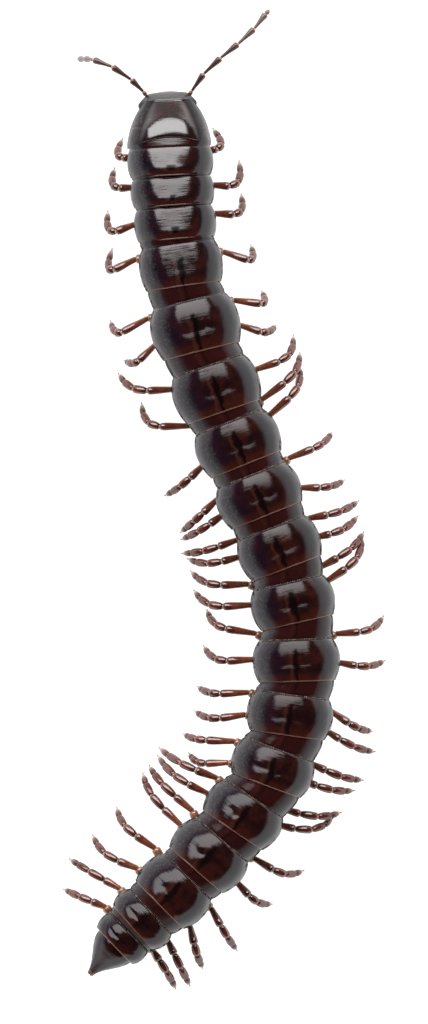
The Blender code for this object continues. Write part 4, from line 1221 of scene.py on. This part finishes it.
def joint_skin():
    """Soft skin of the joints, stretched thin.  Pale, warm and slightly moist."""
    material, tree, shader, skin = blank("joint_skin", "skin")
    folds = add(tree, "TexNoise", (skin, 14.0, 2.0))
    colour = add(tree, "ValToRGB", (folds,), stops=((0.3, "#c08a6c"), (0.7, "#e6c4ac")))
    bump = add(tree, "Bump", {"Height": folds, "Strength": 0.5, "Distance": 2e-6})
    fill(shader, {"Base Color": colour, "Normal": bump, "Roughness": 0.35, "IOR": 1.45})
    return material


def claw_horn():
    """Solid horn of claws and teeth, tapered to a point.  Dark, smooth and hard."""
    material, tree, shader, skin = blank("claw_horn", "skin")
    along, _, _ = add(tree, "SeparateXYZ", (skin,), None)
    colour = add(tree, "ValToRGB", (along,), stops=((0.0, "#7a4a34"), (0.16, "#2a1612")))
    fill(shader, {"Base Color": colour, "Roughness": 0.25, "IOR": CHITIN_IOR})
    return material


def feeler_cuticle():
    """Thin cuticle of the feelers under fine down.  Grey-brown, darker near the head,
    with rusty rings at the joints."""
    material, tree, shader, skin, zone = blank("feeler_cuticle", "skin", "zone")
    part, along, _ = add(tree, "SeparateXYZ", (zone,), None)
    where = add(tree, "Math", (part, 7.0), operation="DIVIDE")
    colour = add(tree, "ValToRGB", (where,), stops=(
        (0.0, "#6a3a2a"), (0.16, "#4a2b26"), (0.45, "#50352e"), (0.7, "#6d564f"), (1.0, "#85716b")))
    ends = add(tree, "MapRange", (along, 0.93, 0.99, 0.0, 0.85))
    colour = add(tree, "Mix", (ends, colour, linear("#d98f68")), data_type="RGBA")
    down = add(tree, "TexNoise", (skin, 26.0, 3.0))
    bump = add(tree, "Bump", {"Height": down, "Strength": 0.5, "Distance": 2e-6})
    fill(shader, {"Base Color": colour, "Normal": bump, "Roughness": 0.3, "IOR": CHITIN_IOR,
                  "Coat Weight": 0.5, "Coat Roughness": 0.12})
    return material


def head_cuticle():
    """Hardened cuticle of the head capsule, with a fine leathery grain.  Chestnut, paler
    at the lip, polished on the crown and dull on the face, with painted shade on the crown."""
    material, tree, shader, skin, zone = blank("head_cuticle", "skin", "zone")
    tone, ahead, facing_up = add(tree, "SeparateXYZ", (zone,), None)
    colour = add(tree, "ValToRGB", (tone,),
                 stops=((0.0, "#5c3322"), (0.3, "#34190f"), (0.7, "#2c1614")))
    cloud = add(tree, "TexNoise", (skin, 5.0, 5.0))
    shade = add(tree, "MapRange", (cloud, 0.3, 0.7, 0.7, 1.15))
    colour = add(tree, "VectorMath", (colour, shade), operation="SCALE")
    # Painted shade on the crown, up to where it comes out from under the collar, but not on the
    # cheeks
    out, _, _ = add(tree, "SeparateXYZ", (skin,), None)
    out = add(tree, "Math", (out,), operation="ABSOLUTE")
    under = add(tree, "MapRange", (facing_up, 0.1, 0.4))
    for limit in (add(tree, "MapRange", (ahead, 0.60, 0.55, 0.0, 0.9)),
                  add(tree, "MapRange", (out, 0.93, 0.96, 1.0, 0.0))):
        under = add(tree, "Math", (under, limit), operation="MULTIPLY")
    colour = add(tree, "Mix", (under, colour, linear("#0d0707")), data_type="RGBA")
    grain = add(tree, "TexNoise", (skin, 20.0, 3.0))
    bump = add(tree, "Bump", {"Height": grain, "Strength": 0.5, "Distance": 2e-6})
    polish = add(tree, "MapRange", (facing_up, 0.35, 0.6, 0.10, 0.5))
    fill(shader, {"Base Color": colour, "Normal": bump, "Specular IOR Level": polish,
                  "Roughness": 0.34, "IOR": 2.0})
    return material


def opal_floor(settings):
    """Opal acrylic sheet, lit from below: matt, pale and evenly bright, so that almost no
    shadow shows on it."""
    material, tree, shader = blank("opal_floor")
    place = add(tree, "TexCoord", out="Object")
    grain = add(tree, "TexNoise", (place, 900.0, 2.0))
    bump = add(tree, "Bump", {"Height": grain, "Strength": 0.1, "Distance": 2e-5})
    fill(shader, {"Base Color": settings.floor, "Normal": bump, "Roughness": 0.85,
                  "Specular IOR Level": 0.2, "Emission Color": (1.0, 1.0, 1.0),
                  "Emission Strength": settings.floor_glow})
    return material


def kept(name, make, *given):
    """The material of that name, made once."""
    return bpy.data.materials.get(name) or make(*given)


def limb_materials(context):
    """Cuticle, joint skin and claw horn, in the order that a limb's parts number them."""
    return [kept("limb_cuticle", limb_cuticle, context.scene.millipede_limbs),
            kept("joint_skin", joint_skin), kept("claw_horn", claw_horn)]


def colour_setting(name, description, code):
    """A colour setting, from its sRGB hex code."""
    return FloatVectorProperty(name=name, description=description, size=3, subtype="COLOR",
                               default=linear(code), min=0, max=1)


def length_setting(name, description, value, least=0.0):
    """A length setting, from millimetres."""
    return FloatProperty(name=name, description=description, default=value * MM,
                         min=least * MM, unit="LENGTH", precision=7)


def share_setting(name, description, value):
    """A setting between none and all."""
    return FloatProperty(name=name, description=description, default=value, min=0, max=1,
                         subtype="FACTOR")


def light_setting(name, description, value):
    """A setting for how brightly something shines."""
    return FloatProperty(name=name, description=description, default=value, min=0)


class ShellSettings(PropertyGroup):
    """Sizes and colours of the back."""

    ring_columns: IntProperty(name="Ring columns", description="Points round each ring",
                              default=176, min=24, max=400)
    rim_height: length_setting("Rim height", "Height of the bead on a rear rim", 0.012)
    furrow_depth: length_setting("Furrow depth", "Depth of the cross furrow", 0.040)
    crease_depth: length_setting("Crease depth", "Depth of the midline crease", 0.008)
    relief: length_setting("Relief", "Height of the slow unevenness", 0.0022)
    bead_pitch: length_setting("Bead pitch", "Distance between stricture beads", 0.065, 0.01)
    wrinkle_height: length_setting("Wrinkle height", "Height of the fine wrinkles", 0.007)
    roughness: share_setting("Roughness", "Roughness under the wax", 0.17)
    coat_roughness: share_setting("Wax roughness", "Roughness of the wax", 0.13)
    coat: share_setting("Wax coat", "Strength of the wax coat", 1.0)
    dark: colour_setting("Dark", "Main colour of the back", "#1f0d0e")
    brown: colour_setting("Brown", "Colour of the clouds", "#331512")
    # Painted shade: a violet cast over the left of the back
    painted_left_cast: colour_setting("Violet", "Cast on the left of the back", "#1d1120")
    red: colour_setting("Red", "Colour of the narrow front parts", "#331414")
    rust: colour_setting("Rust", "Colour of the band before the rim", "#401a12")
    pale: colour_setting("Pale line", "Line at the left of the stripe", "#4a2a24")
    # Black is also the colour of the painted edge shade and of the collar's corner shadows
    black: colour_setting("Black", "Colour of the stripe", "#0b0708")
    amber: colour_setting("Amber", "Colour of the rear rims", "#7d5645")
    flank: colour_setting("Flank", "Colour of the flanks", "#1a1b21")
    # Painted sparkle: grey-green grain on the left flank, standing in for its glints
    painted_sparkle_grey: colour_setting("Dust", "Grain on the left flank", "#5a5e50")


class LimbSettings(PropertyGroup):
    """Finish of the legs."""

    roughness: share_setting("Roughness", "Roughness of the leg cuticle", 0.22)


class StudioSettings(PropertyGroup):
    """Light, floor and camera."""

    floor: colour_setting("Floor", "Colour of the floor", "#b0b0b0")
    floor_glow: light_setting("Floor glow", "Light that comes up through the floor", 1.05)
    box_radiance: light_setting("Softbox", "Radiance of the softbox", 5.0)
    rim_radiance: light_setting("Horizon", "Radiance of the white surround", 1.7)
    dark_radiance: light_setting("Ceiling", "Radiance of the dark ceiling", 0.008)
    camera_height: FloatProperty(name="Camera height", description="Height over the floor",
                                 default=0.6, min=0.1, unit="LENGTH")


class MILLIPEDE_OT_stage(Operator):
    """Floor, softbox, white surround and the camera straight above the back"""

    bl_idname = "millipede.stage"
    bl_label = "Studio"

    def execute(self, context):
        settings = context.scene.millipede_studio
        scene = context.scene
        scene.view_settings.view_transform = "Standard"
        self.lay_floor(scene, settings)
        self.hang_softbox(scene, settings)
        self.light_surround(scene, settings)
        self.set_camera(scene, settings)
        return {"FINISHED"}

    def lay_floor(self, scene, settings):
        """A flat grid of squares round the origin."""
        mesh = bpy.data.meshes.new("floor")
        side = np.linspace(-FLOOR_HALF, FLOOR_HALF, 13)
        points = triples(side[None, :], side[:, None], 0.0)
        index = np.arange(side.size ** 2).reshape(side.size, side.size)
        faces = np.stack((index[:-1, :-1], index[:-1, 1:], index[1:, 1:], index[1:, :-1]), axis=-1)
        mesh.from_pydata(points.reshape(-1, 3).tolist(), [], faces.reshape(-1, 4).tolist())
        mesh.materials.append(kept("opal_floor", opal_floor, settings))
        floor = bpy.data.objects.new("floor", mesh)
        scene.collection.objects.link(floor)

    def hang_softbox(self, scene, settings):
        """A rectangle of light over the head, a little to the left, that faces the origin."""
        off, aside = math.radians(BOX_OFF), math.radians(BOX_ASIDE)
        light = bpy.data.lights.new("softbox", "AREA")
        light.shape = "RECTANGLE"
        light.size = 2 * BOX_REACH * math.tan(math.radians(BOX_HALF_WIDE))
        light.size_y = 2 * BOX_REACH * math.tan(math.radians(BOX_HALF_HIGH))
        light.energy = settings.box_radiance * math.pi * light.size * light.size_y
        box = bpy.data.objects.new("softbox", light)
        box.location = (-BOX_REACH * math.sin(aside), BOX_REACH * math.cos(aside) * math.sin(off),
                        BOX_REACH * math.cos(aside) * math.cos(off))
        box.rotation_euler = (-Vector(box.location)).to_track_quat("-Z", "Y").to_euler()
        scene.collection.objects.link(box)

    def light_surround(self, scene, settings):
        """A white horizon under a dark ceiling.  It ends sharply on the right and fades
        out slowly on the left."""
        world = bpy.data.worlds.new("studio")
        world.use_nodes = True
        scene.world = world
        tree = world.node_tree
        way = add(tree, "TexCoord", out="Generated")
        right, _, level = add(tree, "SeparateXYZ", (way,), None)
        ends = [add(tree, "MapRange", (level, math.sin(math.radians(low)),
                                       math.sin(math.radians(high)), settings.rim_radiance,
                                       settings.dark_radiance))
                for low, high in (HORIZON_RIGHT, HORIZON_LEFT)]
        left = add(tree, "MapRange", (right, 0.2, -0.3))
        glow = add(tree, "Mix", (left, *ends))
        fill(tree.nodes["Background"], {"Strength": glow, "Color": (1.0, 1.0, 1.0)})

    def set_camera(self, scene, settings):
        """A long lens that looks straight down with the head at the top of the frame."""
        camera = bpy.data.cameras.new("camera")
        camera.sensor_fit = "VERTICAL"
        camera.sensor_height = 24.0
        camera.lens = LENS
        camera.clip_start, camera.clip_end = 0.05, 20.0
        eye = bpy.data.objects.new("camera", camera)
        eye.location = (CAMERA_AT[0] * MM, CAMERA_AT[1] * MM, settings.camera_height)
        scene.collection.objects.link(eye)
        scene.camera = eye


class MILLIPEDE_OT_rings(Operator):
    """Body rings from the second to the nineteenth, each a closed shell"""

    bl_idname = "millipede.rings"
    bl_label = "Body rings"

    def execute(self, context):
        settings = context.scene.millipede_shell
        cuticle = kept("waxed_cuticle", waxed_cuticle, settings)
        rings, _ = lay_out_rings()
        beads = Piece("stricture_beads")
        for before, ring in zip((Collar, *rings), rings):
            piece = Piece(f"shell_{ring.number:02d}")
            piece.tube(*ring_surface(ring, before, settings))
            piece.build([cuticle], [f"ring_{ring.number:02d}"])
            if ring.number >= FIRST_BEADED:
                points = bead_rows(ring, settings)
                beads.tube(points, points, (0.0, 0.0, 1.0))
        beads.build([kept("bead_horn", bead_horn)])
        return {"FINISHED"}


class MILLIPEDE_OT_collar(Operator):
    """The shield behind the head"""

    bl_idname = "millipede.collar"
    bl_label = "Collar"

    def execute(self, context):
        settings = context.scene.millipede_shell
        piece = Piece("collar")
        piece.tube(*collar_surface(settings))
        piece.build([kept("waxed_cuticle", waxed_cuticle, settings)], ["collum"])
        return {"FINISHED"}


class MILLIPEDE_OT_head(Operator):
    """Head capsule, lip, jaws, chin plates, teeth and neck"""

    bl_idname = "millipede.head"
    bl_label = "Head"

    def execute(self, context):
        cuticle = kept("head_cuticle", head_cuticle)
        piece = Piece("head_capsule")
        piece.tube(*head_surface())
        piece.build([cuticle], ["head"])

        mouth = Piece("mouthparts")
        for place, axes, power, grain, tone in MOUTHPARTS:
            for side in (-1, 1) if place[0] else (1,):
                mirror = (side, 1, 1)
                block = rounded_block(HEAD_CENTRE + np.multiply(place, mirror),
                                      np.multiply(axes, mirror), power)
                mouth.tube(block, np.multiply(grain, (1, side, 1)), (tone, 0.0, 0.0))
        for step in (-1, 0, 1):
            tooth = rounded_block(HEAD_CENTRE + (step * TOOTH_PITCH, TOOTH_AHEAD, TOOTH_LEVEL),
                                  np.diag(TOOTH_HALF), 1.0, rows=8, columns=10)
            mouth.tube(tooth, (0.1, 0.0, 0.0), (0.1, 0.0, 0.0), 1)
        mouth.build([cuticle, kept("claw_horn", claw_horn)])
        return {"FINISHED"}


class MILLIPEDE_OT_feelers(Operator):
    """Both feelers, article by article, with their joint rings and tip cones"""

    bl_idname = "millipede.feelers"
    bl_label = "Feelers"

    def execute(self, context):
        materials = [kept("feeler_cuticle", feeler_cuticle), kept("joint_skin", joint_skin)]
        for side, joints in (("right", FEELER_RIGHT), ("left", FEELER_LEFT)):
            piece = Piece(f"feeler_{side}")
            feeler(piece, joints)
            piece.build(materials, [f"antenna_{side}"])
        return {"FINISHED"}


class MILLIPEDE_OT_legs(Operator):
    """Walking legs in groups of one ring and side, on their half of the ventral plate"""

    bl_idname = "millipede.legs"
    bl_label = "Legs"

    def execute(self, context):
        materials = limb_materials(context)
        rings, _ = lay_out_rings()
        for ring in rings:
            for side, title, table in ((-1, "left", LEFT_LEGS), (1, "right", RIGHT_LEGS)):
                if ring.number not in table:
                    continue
                poses = table[ring.number]
                hips = hip_places(ring, len(poses))
                piece = Piece(f"leg_group_{ring.number:02d}_{title}")
                half_sternite(piece, ring, side, hips)
                pale = 1.0 if ring.number < 6 else 0.0
                for place, (behind, pose) in enumerate(zip(hips, poses)):
                    joints = leg_joints(ring, side, behind, pose)
                    leg(piece, joints, ring.number * 10 + place * 4 + side + 1, pale)
                piece.build(materials, [f"legs_{ring.number:02d}_{title}"])
        return {"FINISHED"}


class MILLIPEDE_OT_gonopods(Operator):
    """The pair of modified legs under ring 7"""

    bl_idname = "millipede.gonopods"
    bl_label = "Gonopods"

    def execute(self, context):
        rings, _ = lay_out_rings()
        ring = rings[GONOPOD_RING - FIRST_RING]
        piece = Piece("gonopod_pair")
        wide, long, high = GONOPOD_ROOT
        root = rounded_block(ring.place(GONOPOD_STOPS[0][0], 0.0, GONOPOD_ROOT_LEVEL),
                             (ring.right * wide, -ring.back * long, UP * high), 0.8)
        piece.tube(root, (0.0, 0.0, 1.0), (0.5, 0.4, 0.4))
        t = np.linspace(0, 1, 30)
        for side in (-1, 1):
            stops = np.array([ring.place(behind, side * out, level)
                              for behind, out, level in GONOPOD_STOPS])
            places = np.linspace(0, 1, len(stops))
            path = np.stack([smooth_line(t, places, stops[:, k]) for k in range(3)], axis=-1)
            arm = round_tube(path, smooth_line(t, places, GONOPOD_GIRTH), 20, flat=0.8)
            piece.tube(arm, tube_skin(arm, 5), triples(2 + 3 * t[:, None], 0.5, 0.5))
            bend = ring.right * side * THORN_OUT - UP * THORN_DOWN
            hook = path[20:] + bend * np.linspace(0, 1, 10)[:, None]
            thorn = round_tube(hook, np.linspace(0.05, 0.008, 10), 10)
            piece.tube(thorn, tube_skin(thorn, 6), (5.5, 0.5, 0.5), 2)
        piece.build(limb_materials(context), ["gonopods"])
        return {"FINISHED"}


class MILLIPEDE_OT_tail(Operator):
    """The tail piece with its blunt tip, the two valves and the scale under them"""

    bl_idname = "millipede.tail"
    bl_label = "Tail"

    def execute(self, context):
        settings = context.scene.millipede_shell
        cuticle = kept("waxed_cuticle", waxed_cuticle, settings)
        _, at = lay_out_rings()
        back, right = backwards(TAIL_HEADING), sideways(TAIL_HEADING)
        piece = Piece("tail_piece")
        piece.tube(*tail_surface(at, settings))
        tip = at + back * TAIL_AT[-1]
        for side in (-1, 1):
            for level in SPINNERET_LEVELS:
                foot = tip + right * side * SPINNERET_OUT + UP * level - back * 0.03
                spike(piece, foot, back, 0, 0.075, 0.02, 0.004, (0.98, 0.0, 0.0), 1)
        piece.build([cuticle, kept("claw_horn", claw_horn)], ["telson"])

        axes = np.array((right, back, UP))
        valves = Piece("tail_valves")
        for side in (-1, 1):
            mirror = (side, 1, 1)
            middle = at + (VALVE_AT * mirror) @ axes
            valve = rounded_block(middle, axes * VALVE_HALF[:, None], 0.9, 32, 40)
            valve = bulge(valve, middle + (VALVE_TIP * mirror) @ axes, 0.16, back * 0.05)
            valves.tube(valve, tube_skin(valve, TAIL_RING), (0.5, side * 0.9, 0.0))
        scale = rounded_block(at + SCALE_AT @ axes, axes * SCALE_HALF[:, None], 0.9)
        valves.tube(scale, tube_skin(scale, TAIL_RING), (0.6, 0.9, 0.0))
        valves.build([cuticle])
        return {"FINISHED"}


STEPS = (MILLIPEDE_OT_stage, MILLIPEDE_OT_rings, MILLIPEDE_OT_collar, MILLIPEDE_OT_head,
         MILLIPEDE_OT_feelers, MILLIPEDE_OT_legs, MILLIPEDE_OT_gonopods, MILLIPEDE_OT_tail)


class MILLIPEDE_PT_panel(Panel):
    """Lists the steps that dress the millipede"""

    bl_idname = "MILLIPEDE_PT_panel"
    bl_label = "Millipede"
    bl_space_type = "VIEW_3D"
    bl_region_type = "UI"
    bl_category = "Millipede"

    def draw(self, context):
        for step in STEPS:
            self.layout.operator(step.bl_idname)


GROUPS = {"millipede_shell": ShellSettings, "millipede_limbs": LimbSettings,
          "millipede_studio": StudioSettings}


def register():
    for group in GROUPS.values():
        bpy.utils.register_class(group)
    for step in (*STEPS, MILLIPEDE_PT_panel):
        bpy.utils.register_class(step)
    for name, group in GROUPS.items():
        setattr(bpy.types.Scene, name, PointerProperty(type=group))


def unregister():
    for name in GROUPS:
        delattr(bpy.types.Scene, name)
    for step in (MILLIPEDE_PT_panel, *reversed(STEPS)):
        bpy.utils.unregister_class(step)
    for group in reversed(GROUPS.values()):
        bpy.utils.unregister_class(group)


def main():
    """Registers the classes and runs the steps in order."""
    register()
    bpy.ops.millipede.stage()
    bpy.ops.millipede.rings()
    bpy.ops.millipede.collar()
    bpy.ops.millipede.head()
    bpy.ops.millipede.feelers()
    bpy.ops.millipede.legs()
    bpy.ops.millipede.gonopods()
    bpy.ops.millipede.tail()


if __name__ == "__main__":
    main()
